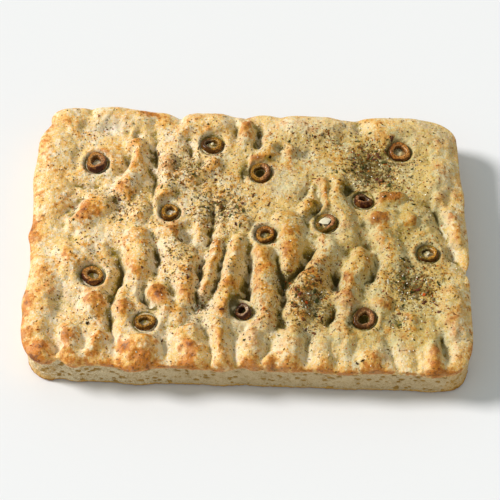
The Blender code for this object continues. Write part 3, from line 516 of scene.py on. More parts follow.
@dataclass(frozen=True)
class Relief:
    """The crust's height over the plan, first the solid's own form and then finer lumps and pits."""

    outline: Outline = Outline()
    lip_height: float = 0.0275
    plateau_height: float = 0.031
    crown_rise: float = 0.0015
    shoulder_reach: float = 0.015
    billow_seed: int = 11
    billow_layers: tuple = ((0.024, 0.0018), (0.012, 0.0013), (0.0062, 0.0008))
    billow_softness: float = 0.1
    billow_middle: float = 0.4
    lump_gain: float = 1.2
    lump_power: float = 1.25
    meeting_power: float = 4.0
    crease_softness: float = 0.0009
    crease_power: float = 2.4
    crease_taper: float = 0.3
    crease_end: float = 0.5
    dimple_spread: float = 1.25
    wander_step: float = 0.009
    wander_by: float = 0.0014
    depth_change: float = 0.35
    lumps_at_lip: float = 0.35
    dents_at_lip: float = 0.55
    fine_at_lip: float = 0.35
    olive_radius: float = 0.0125
    olive_depth: float = 0.003
    olive_power: float = 1.5
    olive_clearing: float = 1.8
    fine_layers: tuple = ((0.0042, 0.0005), (0.0026, 0.00032), (0.0017, 0.0002))
    drift_layers: tuple = ((0.0036, 0.0012), (0.0019, 0.0007))
    jag_layers: tuple = ((0.0048, 0.001), (0.0026, 0.0006))
    jag_inset: tuple = (0.001, 0.008)
    slit_depth: float = 0.002
    slit_width: float = 0.001
    slit_taper: float = 0.25
    slit_from: float = 0.0035
    slit_ramp: float = 0.0045
    collar_rise: float = 0.0009
    collar: tuple = (0.0106, 0.0017)
    moat_depth: float = 0.0008
    moat: tuple = (0.0082, 0.001)
    collar_change: float = 0.8
    collar_step: float = 0.006
    hole_edge: tuple = (0.0036, 0.0022)

    @staticmethod
    def _to_path(x: Array, y: Array, path: tuple) -> tuple[Array, Array, Array]:
        """Nearest place on a path of straight stretches, or the distance to its one spot.

        Args:
            x, y: Places in the plan.
            path: The path's points.

        Returns:
            Distance, side (+1 east, -1 west) and share of the way along.
        """
        if len(path) == 1:
            away = np.hypot(x - path[0][0], y - path[0][1])
            return away, np.ones_like(x), np.full_like(x, 0.5)
        nearest = np.full_like(x, np.inf)
        side, way = np.ones_like(x), np.zeros_like(x)
        for number, ((x0, y0), (x1, y1)) in enumerate(zip(path, path[1:])):
            run_x, run_y = x1 - x0, y1 - y0
            along = np.clip(((x - x0) * run_x + (y - y0) * run_y) / (run_x**2 + run_y**2), 0.0, 1.0)
            off_x, off_y = x - x0 - along * run_x, y - y0 - along * run_y
            distance = np.hypot(off_x, off_y)
            closer = distance < nearest
            nearest = np.where(closer, distance, nearest)
            side = np.where(closer, np.where(off_x >= 0.0, 1.0, -1.0), side)
            way = np.where(closer, (number + along) / (len(path) - 1), way)
        return nearest, side, way

    def billows(self, x: Array, y: Array, layers: tuple, seed: int) -> Array:
        """Rise of small lumps: the absolute value of noise has round tops and soft creases.

        Args:
            x, y: Places in the plan.
            layers: Step and height of each layer.
            seed: Seed of the first layer.

        Returns:
            Rise at each place.
        """
        total = np.zeros_like(x)
        for number, (step, height) in enumerate(layers):
            folded = np.hypot(lattice_noise(x, y, step, seed + number), self.billow_softness)
            total += height * (folded - self.billow_middle)
        return total

    def _wandered(self, x: Array, y: Array) -> tuple[Array, Array]:
        """The places moved a little by noise, so that furrows and lumps don't run straight."""
        off_x = self.wander_by * lattice_noise(x, y, self.wander_step, self.billow_seed + 20)
        off_y = self.wander_by * lattice_noise(x, y, self.wander_step, self.billow_seed + 21)
        return x + off_x, y + off_y

    def _bowls(self, x: Array, y: Array) -> Array:
        """Round bowl under each olive ring: one less the squared distance from its middle.

        Args:
            x, y: Places in the plan.

        Returns:
            0 outside to 1 in the middle of a bowl.
        """
        bowl = np.zeros_like(x)
        for ring in OLIVE_RINGS:
            away = np.hypot(x - ring.x, y - ring.y) / self.olive_radius
            bowl = np.maximum(bowl, 1.0 - np.minimum(away, 1.0) ** 2)
        return bowl

    def _clear(self, x: Array, y: Array) -> Array:
        """1 away from the olive rings and 0 close to one, where the crust is pressed smooth."""
        return 1.0 - np.minimum(self.olive_clearing * self._bowls(x, y), 1.0)

    def dents(self, x: Array, y: Array) -> Array:
        """Depth of creases, dimples and olive bowls; where they cross, the deeper one rules.

        Each is raised to a high power, they are summed, and the same root is taken. A crease falls off
        with a power of its distance, and a dimple as one less the squared distance, squared.

        Args:
            x, y: Places in the plan.

        Returns:
            Depth at each place.
        """
        moved_x, moved_y = self._wandered(x, y)
        change = lattice_noise(x, y, self.wander_step, self.billow_seed + 22)
        change = 1.0 + self.depth_change * change
        power = self.meeting_power
        total = np.zeros_like(x)
        for crease in CREASES:
            distance, side, way = self._to_path(moved_x, moved_y, crease.path)
            distance = np.hypot(distance, self.crease_softness) - self.crease_softness
            reach = crease.reach * (1.0 - side * crease.lean)
            from_end = np.clip(np.minimum(way, 1.0 - way) / self.crease_taper, 0.0, 1.0)
            depth = crease.depth * from_low(self.crease_end, from_end) * change
            total += (depth * (1.0 - np.minimum(distance / reach, 1.0)) ** self.crease_power) ** power
        for dimple in DIMPLES:
            away = np.hypot((moved_x - dimple.x) / dimple.half_x, (moved_y - dimple.y) / dimple.half_y)
            bowl = (1.0 - np.minimum(away / self.dimple_spread, 1.0) ** 2) ** 2
            total += (dimple.depth * change * bowl) ** power
        bowl = self.olive_depth * self._bowls(x, y) ** self.olive_power
        total = total * self._clear(x, y) ** power + bowl**power
        return total ** (1.0 / power)

    def lumps(self, x: Array, y: Array) -> Array:
        """Rise of the ridges and lumps; where two meet, the higher rules and leaves a crease.

        Each is a dome, one less the squared distance, raised to a power.

        Args:
            x, y: Places in the plan.

        Returns:
            Rise at each place.
        """
        moved_x, moved_y = self._wandered(x, y)
        total = np.zeros_like(x)
        for lump in LUMPS:
            distance, _, _ = self._to_path(moved_x, moved_y, lump.path)
            dome = (1.0 - np.minimum(distance / lump.reach, 1.0) ** 2) ** self.lump_power
            total += (self.lump_gain * lump.height * dome) ** self.meeting_power
        return total ** (1.0 / self.meeting_power)

    def shoulder(self, x: Array, y: Array) -> Array:
        """0 at the rim to 1 on the plateau, as a quarter ellipse."""
        inset = np.clip(self.outline.inset(x, y), 0.0, self.shoulder_reach)
        return np.sqrt(1.0 - (1.0 - inset / self.shoulder_reach) ** 2)

    def form(self, x: Array, y: Array) -> Array:
        """The solid's own crust height: shoulder and crown, plus lumps, less dents.

        Args:
            x, y: Places in the plan.

        Returns:
            Height over the base.
        """
        shoulder = self.shoulder(x, y)
        outline = self.outline
        crown = self.crown_rise * (1.0 - (x / outline.half_width) ** 2)
        crown = crown * (1.0 - (y / outline.half_depth) ** 2)
        body = self.lip_height + (self.plateau_height - self.lip_height) * shoulder + crown
        lumps = self.lumps(x, y) * from_low(self.lumps_at_lip, shoulder)
        billows = self.billows(x, y, self.billow_layers, self.billow_seed) * shoulder**2
        dents = self.dents(x, y) * from_low(self.dents_at_lip, shoulder)
        return body + (lumps + billows) * self._clear(x, y) - dents

    def slits(self, x: Array, y: Array) -> Array:
        """Narrow tears along the deepest furrows: a bell curve across each path.

        Args:
            x, y: Places in the plan.

        Returns:
            Strength from 0 to 1.
        """
        moved_x, moved_y = self._wandered(x, y)
        total = np.zeros_like(x)
        for crease in CREASES:
            distance, _, way = self._to_path(moved_x, moved_y, crease.path)
            taper = eased(0.0, self.slit_taper, np.minimum(way, 1.0 - way))
            strength = np.clip((crease.depth - self.slit_from) / self.slit_ramp, 0.0, 1.0) * taper
            total = np.maximum(total, strength * bell(distance, 0.0, self.slit_width))
        return total

    def _fine(self, x: Array, y: Array) -> Array:
        """Finer relief: small billows, crumbs under the herb drifts, slits, and collars at the rings.

        Args:
            x, y: Places in the plan.

        Returns:
            Rise at each place.
        """
        clear = self._clear(x, y)
        small = self.billows(x, y, self.fine_layers, FINE_SEED)
        small = small * from_low(self.fine_at_lip, self.shoulder(x, y))
        drift = patch_strength(x, y, HERB_PATCHES) * clear
        small = small + drift * self.billows(x, y, self.drift_layers, FINE_SEED + 50)
        small = small - self.slit_depth * self.slits(x, y) * clear
        uneven = 1.0 + self.collar_change * lattice_noise(x, y, self.collar_step, FINE_SEED + 40)
        for ring in OLIVE_RINGS:
            away = np.hypot(x - ring.x, (y - ring.y) / (0.5 + 0.5 * ring.squash)) / ring.size
            collar = self.collar_rise * bell(away, *self.collar)
            collar = collar - self.moat_depth * bell(away, *self.moat)
            small = small + collar * uneven - ring.centre.value.depth * eased(*self.hole_edge, away)
        return small

    def height(self, x: Array, y: Array) -> Array:
        """Height of the dressed crust: the form, its edges made jagged by noise, and finer relief.

        Args:
            x, y: Places in the plan.

        Returns:
            Height over the base.
        """
        free = self._clear(x, y) * eased(*self.jag_inset, self.outline.inset(x, y))
        off_x, off_y = np.zeros_like(x), np.zeros_like(x)
        for number, (step, reach) in enumerate(self.jag_layers):
            off_x += reach * lattice_noise(x, y, step, FINE_SEED + 10 + number)
            off_y += reach * lattice_noise(x, y, step, FINE_SEED + 20 + number)
        return self.form(x + free * off_x, y + free * off_y) + self._fine(x, y)


def loaf_shift() -> Shift:
    """How far the loaf's plan coordinates lie from the frame's: the mean over the olive nodes.

    Returns:
        Shift along x and along y.
    """
    shifts = []
    for number, ring in enumerate(OLIVE_RINGS, start=1):
        low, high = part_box(f"olive_ring_{number:02d}")
        middle = (low + high) / 2
        shifts.append((middle.x - ring.x, middle.y - ring.y))
    return tuple(np.mean(shifts, axis=0))


def linked(name: str, data: bpy.types.ID) -> Piece:
    """An object of a mesh, a camera or a light, linked to the scene."""
    thing = bpy.data.objects.new(name, data)
    bpy.context.scene.collection.objects.link(thing)
    return thing


def new_piece(name: str, points: Array, faces: list, shift: Shift) -> Piece:
    """Make a mesh object from points in plan coordinates, moved into the frame.

    Args:
        name: Name of the piece.
        points: Corner places, one row each.
        faces: Corner numbers of each face.
        shift: Shift from plan coordinates to the frame.

    Returns:
        The new object, linked and shaded smooth, at the origin.
    """
    mesh = bpy.data.meshes.new(name)
    placed = points + np.array([shift[0], shift[1], 0.0])
    mesh.from_pydata(placed.tolist(), [], faces)
    mesh.update()
    mesh.shade_smooth()
    return linked(name, mesh)


def put_values(piece: Piece, name: str, values: Array) -> None:
    """Store one number, or one colour, at each corner of a piece's mesh.

    Args:
        piece: The piece.
        name: Name of the attribute.
        values: Numbers, or rows of red, green and blue.
    """
    if values.ndim == 1:
        attribute = piece.data.attributes.new(name, "FLOAT", "POINT")
        attribute.data.foreach_set("value", values.astype(np.float32))
        return
    attribute = piece.data.attributes.new(name, "FLOAT_COLOR", "POINT")
    full = np.column_stack([values, np.ones(len(values))])
    attribute.data.foreach_set("color", full.astype(np.float32).reshape(-1))


def dress(piece: Piece, material: Material, slot: str, *nodes: str) -> None:
    """Give a piece its material and its body, and hide the CAD nodes that it stands for.

    Args:
        piece: The piece.
        material: Its material.
        slot: Not used.
        nodes: CAD nodes that it replaces.
    """
    piece.data.materials.append(material)
    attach(piece, "root")
    if nodes:
        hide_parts(*nodes)
    log.info("%s: %d corners, %d faces", piece.name, len(piece.data.vertices), len(piece.data.polygons))


def band_faces(above: Array, below: Array) -> Array:
    """Faces of closed bands between loops of corners, for one pair of loops or for rows of them."""
    parts = above, below, np.roll(below, -1, axis=-1), np.roll(above, -1, axis=-1)
    return np.stack(parts, axis=-1).reshape(-1, 4)


def blurred(values: Array, reach: int) -> Array:
    """Mean over a square of 2 reach + 1 places each way, done twice, with the edges held.

    Args:
        values: A grid of values.
        reach: Half the square's side, in places.

    Returns:
        The blurred grid.
    """
    side = 2 * reach + 1
    for axis in (0, 1, 0, 1):
        pad = [(0, 0), (0, 0)]
        pad[axis] = (reach + 1, reach)
        total = np.cumsum(np.pad(values, pad, mode="edge"), axis=axis)
        size = values.shape[axis]
        upper = np.take(total, np.arange(side, side + size), axis=axis)
        lower = np.take(total, np.arange(size), axis=axis)
        values = (upper - lower) / side
    return values


@dataclass
class CrustLooks:
    """Maps over the crust's grid that its finish reads: brown, hollow, pale, dust and calm.

    A pair of two places or two slopes is a stretch over which something fades in or out. Broad and close
    tell how many metres over its surroundings a place counts as fully raised. Hollow holds olive staining
    and painted shade, brown holds painted shade on slopes that face the front, and pale holds painted light
    on slopes that face west.
    """

    relief: Relief
    x: Array
    y: Array
    z: Array
    broad: float = 0.0022
    close: float = 0.0007
    base_brown: float = 0.1
    broad_brown: float = 0.15
    close_brown: float = 0.1
    wide_brown: float = 0.16
    mid_brown: float = 0.14
    patch_brown: float = 0.64
    rim_brown: float = 0.26
    front_brown: float = 0.2
    east_brown: float = 0.18
    # Browning near the front, plus painted shade on slopes that face the front
    front_slope_brown_and_shade: tuple = (0.08, 0.3)
    strip_brown: float = 0.1
    west_brown: float = 0.22
    front_lip: tuple = (-0.086, -0.1)
    front_slope: tuple = (-0.076, -0.094)
    east_rim: tuple = (0.138, 0.147)
    west_strip: tuple = (-0.12, -0.14)
    west_rim: tuple = (-0.134, -0.147)
    inland: tuple = (-0.092, -0.074)
    # Slopes that get painted shade (front, east) and painted light (west)
    front_face_shade: tuple = (0.2, 1.1)
    east_face_shade: tuple = (0.25, 0.9)
    west_face_light: tuple = (0.2, 0.8)
    slit_painted_shade: float = 1.3
    shade_hollow: float = 1.5
    web_pale: float = 0.6
    deepest: float = 2.2
    halo: tuple = (0.0125, 0.0085)
    halo_pale: float = 0.45
    hole: tuple = (0.0046, 0.0032)
    moat: tuple = (0.0083, 0.0009)
    moat_painted_shade: float = 2.0
    calm_rim: tuple = (0.024, 0.004)
    calm_west: tuple = (-0.1, -0.135)
    calm_lost: float = 0.8
    lip_front_brown_and_shade: float = 0.05

    def __post_init__(self) -> None:
        """Work out what several maps share: rises, slopes, the shoulder and noises."""
        self.shoulder = self.relief.shoulder(self.x, self.y)
        self.broad_rise = (self.z - blurred(self.z, 9)) / self.broad
        self.close_rise = (self.z - blurred(self.z, 3)) / self.close
        self.eastward = np.gradient(blurred(self.z, 1), axis=0) / np.gradient(self.x, axis=0)
        self.backward = np.gradient(blurred(self.z, 1), axis=1) / np.gradient(self.y, axis=1)
        self.mid = self._noise(0.0055, 71)
        self.web = eased(0.2, 1.0, -self.broad_rise) * eased(-0.05, 0.55, self._noise(0.0042, 73))

    def _noise(self, step: float, seed: int) -> Array:
        """Noise over the grid."""
        return lattice_noise(self.x, self.y, step, seed)

    def _patches(self, patches: tuple[Patch, ...]) -> Array:
        """Strength of soft spots over the grid."""
        return patch_strength(self.x, self.y, patches)

    def brown(self) -> Array:
        """Browning: raised places, noise and brown patches, then the rim and the slopes to the front.

        On the slopes that face the front, away from the key light, the browning also paints shade.

        Returns:
            Browning, about 0 for pale and 1 for toasted.
        """
        brown = self.base_brown + self.broad_brown * self.broad_rise * self.shoulder
        brown = brown + self.close_brown * self.close_rise * self.shoulder
        brown = brown + self.wide_brown * self._noise(0.016, 70) + self.mid_brown * self.mid
        brown = brown + self.patch_brown * self._patches(BROWN_PATCHES) * (0.62 + 0.75 * self.mid)
        front = eased(*self.front_lip, self.y)
        east = eased(*self.east_rim, self.relief.outline.upright(self.x, self.y))
        edge = self.front_brown * front + self.east_brown * east + self.rim_brown
        brown = brown + edge * (1.0 - self.shoulder)
        # Browner near the front, more on slopes that face the front: browning, and painted shade on those
        # slopes
        level, steep = self.front_slope_brown_and_shade
        slope = level + steep * eased(*self.front_face_shade, self.backward)
        brown = brown + slope * eased(*self.front_slope, self.y)
        brown = brown + self.strip_brown * eased(*self.west_strip, self.x)
        return brown + self.west_brown * eased(*self.west_rim, self.x)

    def hollow(self) -> Array:
        """Hollows: sunken places, the west walls of furrows, slits and shade patches, less under the pale
        web.

        Sunken places get olive staining and painted shade. The west walls of furrows face east, away from
        the key light, and they, the slits and the shade patches get painted shade.

        Returns:
            Hollow, 0 for flat and above 1 for deep.
        """
        inland = eased(*self.inland, self.y)
        # Olive in sunken places: partly staining, partly painted shade
        hollow = eased(0.15, 1.3, -self.broad_rise) + 0.55 * eased(0.3, 1.6, -self.close_rise)
        # Painted shade on slopes that face east, away from the key light
        hollow = hollow + 0.25 * eased(*self.east_face_shade, -self.eastward) * self.shoulder
        hollow = hollow * from_low(0.45, inland)
        ragged = np.clip(0.75 + 0.7 * self._noise(0.0032, 72), 0.0, 1.4)
        slits = self.relief.slits(self.x, self.y)
        # Painted shade along the slits
        hollow = hollow + self.slit_painted_shade * slits * from_low(0.35, inland) * ragged
        # Painted shade in the shade patches
        hollow = hollow + self.shade_hollow * self._patches(SHADE_PATCHES) * (0.75 + 0.6 * self.mid)
        return hollow * (1.0 - 0.6 * self.web)

    def pale(self) -> Array:
        """Pale dough: its patches, a web in the shallow dips, and slopes that face west.

        On slopes that face west, towards the key light, the pale dough is painted light.

        Returns:
            How much dough shows, from 0.
        """
        pale = self._patches(PALE_PATCHES) * (0.8 + 0.5 * self.mid) + self.web_pale * self.web
        # Paler on slopes that face west, towards the key light: painted light
        return pale + 0.35 * eased(*self.west_face_light, self.eastward) * self.shoulder

    def ringed(self, pale: Array, hollow: Array) -> tuple[Array, Array]:
        """Add what the olive rings do: a pale halo, a dark moat and the look of the hole.

        The moat's darkness and the hole's darkness are painted shade.

        Args:
            pale: Pale dough.
            hollow: Hollows.

        Returns:
            Both with the rings' marks.
        """
        for ring in OLIVE_RINGS:
            away = np.hypot(self.x - ring.x, self.y - ring.y)
            halo = eased(*self.halo, away) * self.halo_pale
            inner = eased(*self.hole, away)
            moat = bell(away / ring.size, *self.moat)
            look = ring.centre.value
            pale = np.where(inner > 0.0, inner * look.flour, np.maximum(pale, halo) * (1.0 - moat))
            # Dark moat round each ring: painted shade
            dark = np.maximum(hollow, self.moat_painted_shade * moat)
            # Darkness in the hole: painted shade
            hollow = np.where(inner > 0.0, inner * look.shade, dark)
        return pale, hollow

    def calm(self, dust: Array) -> Array:
        """Where the crust is plain: along the rim and the west side, less under the herbs."""
        near_rim = eased(*self.calm_rim, self.relief.outline.inset(self.x, self.y))
        calm = np.maximum(near_rim, eased(*self.calm_west, self.x))
        return calm * (1.0 - self.calm_lost * np.clip(dust, 0.0, 1.0))

    def store(self, crust: Piece, rim: Array, shares: list[float]) -> None:
        """Store the maps at the crust's corners, and fade the rim's values down its lip.

        Args:
            crust: The crust.
            rim: Corner numbers of the rim.
            shares: Share of the way down the lip, one for each loop of corners under the rim.
        """
        pale, hollow = self.ringed(self.pale(), self.hollow())
        dust = self._patches(HERB_PATCHES)
        # At the front the lip's lower rows get browner: browning, and painted shade on faces that look away
        # from the key
        lip_front = self.lip_front_brown_and_shade * eased(*self.front_lip, self.y).reshape(-1)[rim]
        for name, grid, kept, added in (
            ("brown", self.brown(), 0.7, lip_front),
            ("hollow", np.clip(hollow, 0.0, self.deepest), 0.1, 0.0),
            ("pale", pale, 0.0, 0.0),
            ("dust", dust, 0.0, 0.0),
            ("calm", self.calm(dust), 1.0, 0.0),
        ):
            flat = grid.reshape(-1)
            lip = [flat[rim] * (1.0 + (kept - 1.0) * share) + share * added for share in shares]
            put_values(crust, name, np.concatenate([flat, *lip]))


@dataclass
class Loaf:
    """The bread: a crust with its overhanging lip, and a crumb body with pores and a baked base."""

    relief: Relief
    shift: Shift
    grid_step: float = 0.0009
    shoulder_steps: int = 20
    shoulder_power: float = 1.4
    lip_rows: int = 9
    lip_share: float = 0.115
    lip_droop: float = 0.1
    lip_ragged: float = 0.03
    lip_least: float = 0.05
    lip_inset: float = 0.35
    lip_bulge: float = 0.0009
    tucks: tuple = ((0.0008, 0.0003), (0.004, 0.0006), (0.007, None))
    overhang: float = 0.0009
    inner_height: float = 0.008
    inner_inset: float = 0.009
    crumb_inset: float = 0.0006
    tuck: float = 0.0018
    tuck_inset: float = 0.0005
    tuck_reach: tuple = (0.0032, 0.0014)
    crumb_columns: int = 1640
    crumb_rows: int = 40
    base_rounding: float = 0.0016
    base_lift: float = 0.00025
    base_shares: tuple = (0.02, 0.25, 0.5, 0.7, 0.85, 0.94, 0.985)
    swell_at_base: float = 0.4
    side_wave: float = 0.0004
    side_rough: float = 0.0003
    base_rim: float = 0.00075
    pore_seed: int = 31
    pore_count: int = 1500

    def _places(self, half: float) -> Array:
        """Places along one axis: close together at the rim, then even steps between shoulders.

        Args:
            half: Half the loaf's size along the axis.

        Returns:
            The places, rising.
        """
        reach = self.relief.shoulder_reach
        shoulder = reach * np.linspace(0.0, 1.0, self.shoulder_steps + 1) ** self.shoulder_power
        inner = half - reach
        middle = np.linspace(-inner, inner, int(round(2 * inner / self.grid_step)) + 1)
        return np.concatenate([-half + shoulder[:-1], middle, half - shoulder[-2::-1]])

    def _plan(self) -> tuple[Array, Array]:
        """Grid over the rectangle, its corner squares bent into quarter discs, leaned and swelled.

        Returns:
            x and y of the grid's places.
        """
        outline = self.relief.outline
        places = self._places(outline.half_width), self._places(outline.half_depth)
        x, y = np.meshgrid(*places, indexing="ij")
        block_x, block_y = outline.block
        part_x = np.maximum(np.abs(x) - block_x, 0.0) / outline.corner
        part_y = np.maximum(np.abs(y) - block_y, 0.0) / outline.corner
        in_corner = (part_x > 0.0) & (part_y > 0.0)
        bent_x = np.sign(x) * (block_x + outline.corner * part_x * np.sqrt(1.0 - part_y**2 / 2))
        bent_y = np.sign(y) * (block_y + outline.corner * part_y * np.sqrt(1.0 - part_x**2 / 2))
        x = np.where(in_corner, bent_x, x)
        y = np.where(in_corner, bent_y, y) + outline.centre_y
        x = x + outline.lean * y
        _, away_x, away_y = outline.distance(x, y)
        outward = outline.swell(x, y)
        return x + away_x * outward, y + away_y * outward

    def _lip_lumps(self, x: Array, y: Array) -> Array:
        """How lumpy the rim is, from about -1 in a furrow to 1 on a lump."""
        rise = self.relief.lumps(x, y) - 0.9 * self.relief.dents(x, y)
        return np.clip(rise / (4.0 * MM) - 0.1, -1.0, 1.0)

    def _edge_share(self, x: Array, y: Array) -> Array:
        """Share of the way down the side where the crust ends: lower under lumps than in furrows."""
        ragged = lattice_noise(x, y, 0.006, 91) + 0.6 * lattice_noise(x, y, 0.0022, 92)
        share = self.lip_share + self.lip_droop * self._lip_lumps(x, y) + self.lip_ragged * ragged
        return np.maximum(share, self.lip_least)

    def _side_inset(self, share: Array) -> Array:
        """How far the side lies in from the lip, for a share of the way from lip to base."""
        at_base = np.clip((share - 0.9) / 0.1, 0.0, 1.0)
        return self.overhang * eased(0.03, 0.35, share) + self.base_rounding * at_base**2

    def build_crust(self) -> Piece:
        """Make the crust: the top grid, the lip's rows, and a hidden flat cap inside the crumb.

        Each lip row lies a share of the way to the crust's lower edge, a little outside the side,
        then three rows tuck in under the lip.

        Returns:
            The crust, with its browning, hollows, pale dough, herb dust and calm at its corners.
        """
        x, y = self._plan()
        z = self.relief.height(x, y)
        columns, rows = x.shape
        index = np.arange(columns * rows).reshape(columns, rows)
        rim = np.concatenate([index[:-1, 0], index[-1, :-1], index[:0:-1, -1], index[0, :0:-1]])
        points = [np.stack([x, y, z], axis=-1).reshape(-1, 3)]
        quads = np.stack([index[:-1, :-1], index[1:, :-1], index[1:, 1:], index[:-1, 1:]], axis=-1)
        faces = quads.reshape(-1, 4).tolist()
        rim_points = points[0][rim]
        rim_x, rim_y, rim_z = rim_points.T
        _, away_x, away_y = self.relief.outline.distance(rim_x, rim_y)
        outward = np.stack([away_x, away_y], axis=-1)
        edge = self._edge_share(rim_x, rim_y)
        lumps = np.maximum(self._lip_lumps(rim_x, rim_y), 0.0)
        above, start = rim, columns * rows
        shares = np.linspace(0.0, 1.0, self.lip_rows + 1)[1:]
        rolls = [(share, 0.0, 0.0) for share in shares] + [(1.0, *tuck) for tuck in self.tucks]
        for share, tuck, lift in rolls:
            down = edge * share
            bulge = self.lip_bulge * lumps * math.sin(math.pi * share**0.8)
            inset = self.lip_inset * self._side_inset(down) - bulge + tuck
            place = rim_points[:, :2] - outward * inset[:, None]
            height = np.full_like(rim_z, self.inner_height) if lift is None else rim_z * (1.0 - down) + lift
            points.append(np.column_stack([place, height]))
            below = start + np.arange(len(rim))
            faces += band_faces(above, below).tolist()
            above, start = below, start + len(rim)
        faces.append(above[::-1].tolist())
        crust = new_piece("crust", np.concatenate(points), faces, self.shift)
        CrustLooks(self.relief, x, y, z).store(crust, rim, [share for share, _, _ in rolls])
        return crust

    def _pores(self, length: float) -> Array:
        """Seeded pores of the side: way round, height, half length, half height and depth.

        Args:
            length: Length once round the loaf.

        Returns:
            One row for each pore.
        """
        rng = np.random.default_rng(self.pore_seed)
        count = self.pore_count
        big = rng.uniform(size=count) ** 3
        way = rng.uniform(0.0, length, count)
        height = rng.uniform(2.6 * MM, 25.0 * MM, count)
        half_length = (0.4 + 1.9 * big) * MM * rng.uniform(0.8, 1.3, count)
        half_height = np.minimum(half_length * rng.uniform(0.55, 1.0, count), 1.5 * MM)
        depth = np.minimum(half_length * 0.9, 1.3 * MM) * rng.uniform(0.6, 1.1, count)
        return np.column_stack([way, height, half_length, half_height, depth])

    def _pore_depth(self, way: Array, height: Array, length: float) -> Array:
        """Depth of the pores over the side: each is one less squared distance, in its own window.

        Args:
            way: Way round of each column.
            height: Heights, one row of columns for each height.
            length: Length once round the loaf.

        Returns:
            Depth at each place.
        """
        depth = np.zeros_like(height)
        step = length / len(way)
        for at, up, half_length, half_height, deep in self._pores(length):
            reach = int(half_length / step) + 2
            columns = (int(at / step) + np.arange(-reach, reach + 1)) % len(way)
            off = (way[columns] - at + length / 2) % length - length / 2
            rise = (height[columns] - up) / half_height
            squared = (off[:, None] / half_length) ** 2 + rise**2
            dent = deep * np.clip(1.0 - squared, 0.0, 1.0) ** 0.6
            depth[columns] = np.maximum(depth[columns], dent)
        return depth

    def build_crumb(self) -> Piece:
        """Make the crumb body: the porous side, the rounded base edge, the base and a hidden cap.

        Returns:
            The crumb body, with its browning and pore depth stored at its corners.
        """
        count = self.crumb_columns
        x, y, away_x, away_y, swell = self.relief.outline.loop(count)
        length = np.hypot(np.roll(x, -1) - x, np.roll(y, -1) - y).sum()
        way = np.arange(count) * length / count
        rim_z = self.relief.height(x, y)
        top = rim_z * (1.0 - self._edge_share(x, y)) + self.tuck
        height = top[:, None] * np.linspace(0.0, 1.0, self.crumb_rows)[None, :]
        share = 1.0 - height / rim_z[:, None]
        tucked = eased(*self.tuck_reach, top[:, None] - height)
        pores = self._pore_depth(way, height, length)
        pores = pores * eased(0.0, 2.2 * MM, height) * (1.0 - tucked)
        wave = lattice_noise(x, y, 0.014, 81)[:, None] * self.side_wave * np.sin(math.pi * share)
        along = way[:, None] - 0.5 * length
        rough = lattice_noise(along, height, 0.0016, 82) * self.side_rough
        up_line = height / self._base_edge(way, length)[:, None]
        base_rim = self.base_rim * eased(1.1, 0.5, up_line)
        wall = pores - (wave + rough) * (1.0 - tucked) - base_rim + self.tuck_inset * tucked
        inset = self._side_inset(share) + self.crumb_inset + wall
        inset = inset + (swell * (1.0 - self.swell_at_base))[:, None] * share
        side_x = x[:, None] - away_x[:, None] * inset
        side_y = y[:, None] - away_y[:, None] * inset
        side = np.stack([side_x, side_y, height], axis=-1)
        base = self._base(side[:, 0])
        cap_place = np.stack([x - away_x * self.inner_inset, y - away_y * self.inner_inset], axis=-1)
        cap = np.column_stack([cap_place, np.full(count, self.inner_height - MM)])
        rows = base + [side[:, row] for row in range(self.crumb_rows)] + [cap]
        loops = np.arange(len(rows) * count).reshape(len(rows), count)
        faces = band_faces(loops[1:], loops[:-1]).tolist()
        faces += [loops[0][::-1].tolist(), loops[-1].tolist()]
        crumb = new_piece("crumb", np.concatenate(rows), faces, self.shift)
        baked = self._side_browning(x, y, along, height, up_line)
        deep = pores / (0.8 * MM)
        on_base = np.ones(len(base) * count)
        put_values(crumb, "brown", np.concatenate([on_base, baked.T.reshape(-1), baked[:, -1]]))
        put_values(crumb, "pore", np.concatenate([on_base * 0.0, deep.T.reshape(-1), deep[:, -1] * 0.0]))
        return crumb

    def _base_edge(self, way: Array, length: float) -> Array:
        """Height of the thin baked line along the base: wavy, one and a half to three millimetres."""
        turn = way / length * math.tau
        return (2.5 + 0.9 * waves(turn, (0.35, 31, 0.0), (0.25, 67, 1.0), (0.2, 113, 0.0))) * MM

    def _base(self, edge: Array) -> list[Array]:
        """Rows of the underside from the middle out, drawn in by shares and raised a little.

        Args:
            edge: The base's outline.

        Returns:
            One loop of points for each share.
        """
        rows = []
        for share in self.base_shares:
            place = edge[:, :2] * share
            lift = self.base_lift * (1.0 + lattice_noise(place[:, 0], place[:, 1], 0.011, 83))
            rows.append(np.column_stack([place, lift * (0.2 + 0.8 * (share < 0.98))]))
        return rows

    def _side_browning(self, x: Array, y: Array, along: Array, height: Array, up_line: Array) -> Array:
        """Browning of the side: a line along the base, the corners, and the three panned sides.

        Args:
            x, y: Places of the rim.
            along: Way round of each place, from the middle of the way.
            height: Heights, one row of columns for each height.
            up_line: The same heights as shares of the baked line's.

        Returns:
            Browning, one row of columns for each height.
        """
        outline = self.relief.outline
        straight_x = np.abs(outline.upright(x, y)) - (outline.half_width - 1.3 * outline.corner)
        straight_y = np.abs(y - outline.centre_y) - (outline.half_depth - 1.3 * outline.corner)
        at_corner = eased(-0.004, 0.01, np.minimum(straight_x, straight_y))
        panned = 1.0 - eased(-0.075, -0.095, y)
        patchy = lattice_noise(along, height * 1.6, 0.008, 84)
        low = eased(12.0 * MM, 1.0 * MM, height)
        line = 0.75 * eased(1.15, 0.8, up_line) + 0.55 * eased(0.75, 0.25, up_line)
        side = (0.42 * panned + 0.5 * at_corner)[:, None] * (0.75 + 0.35 * low) + 0.06 * low
        return np.clip(side + 0.1 * patchy + line, 0.0, 1.3)


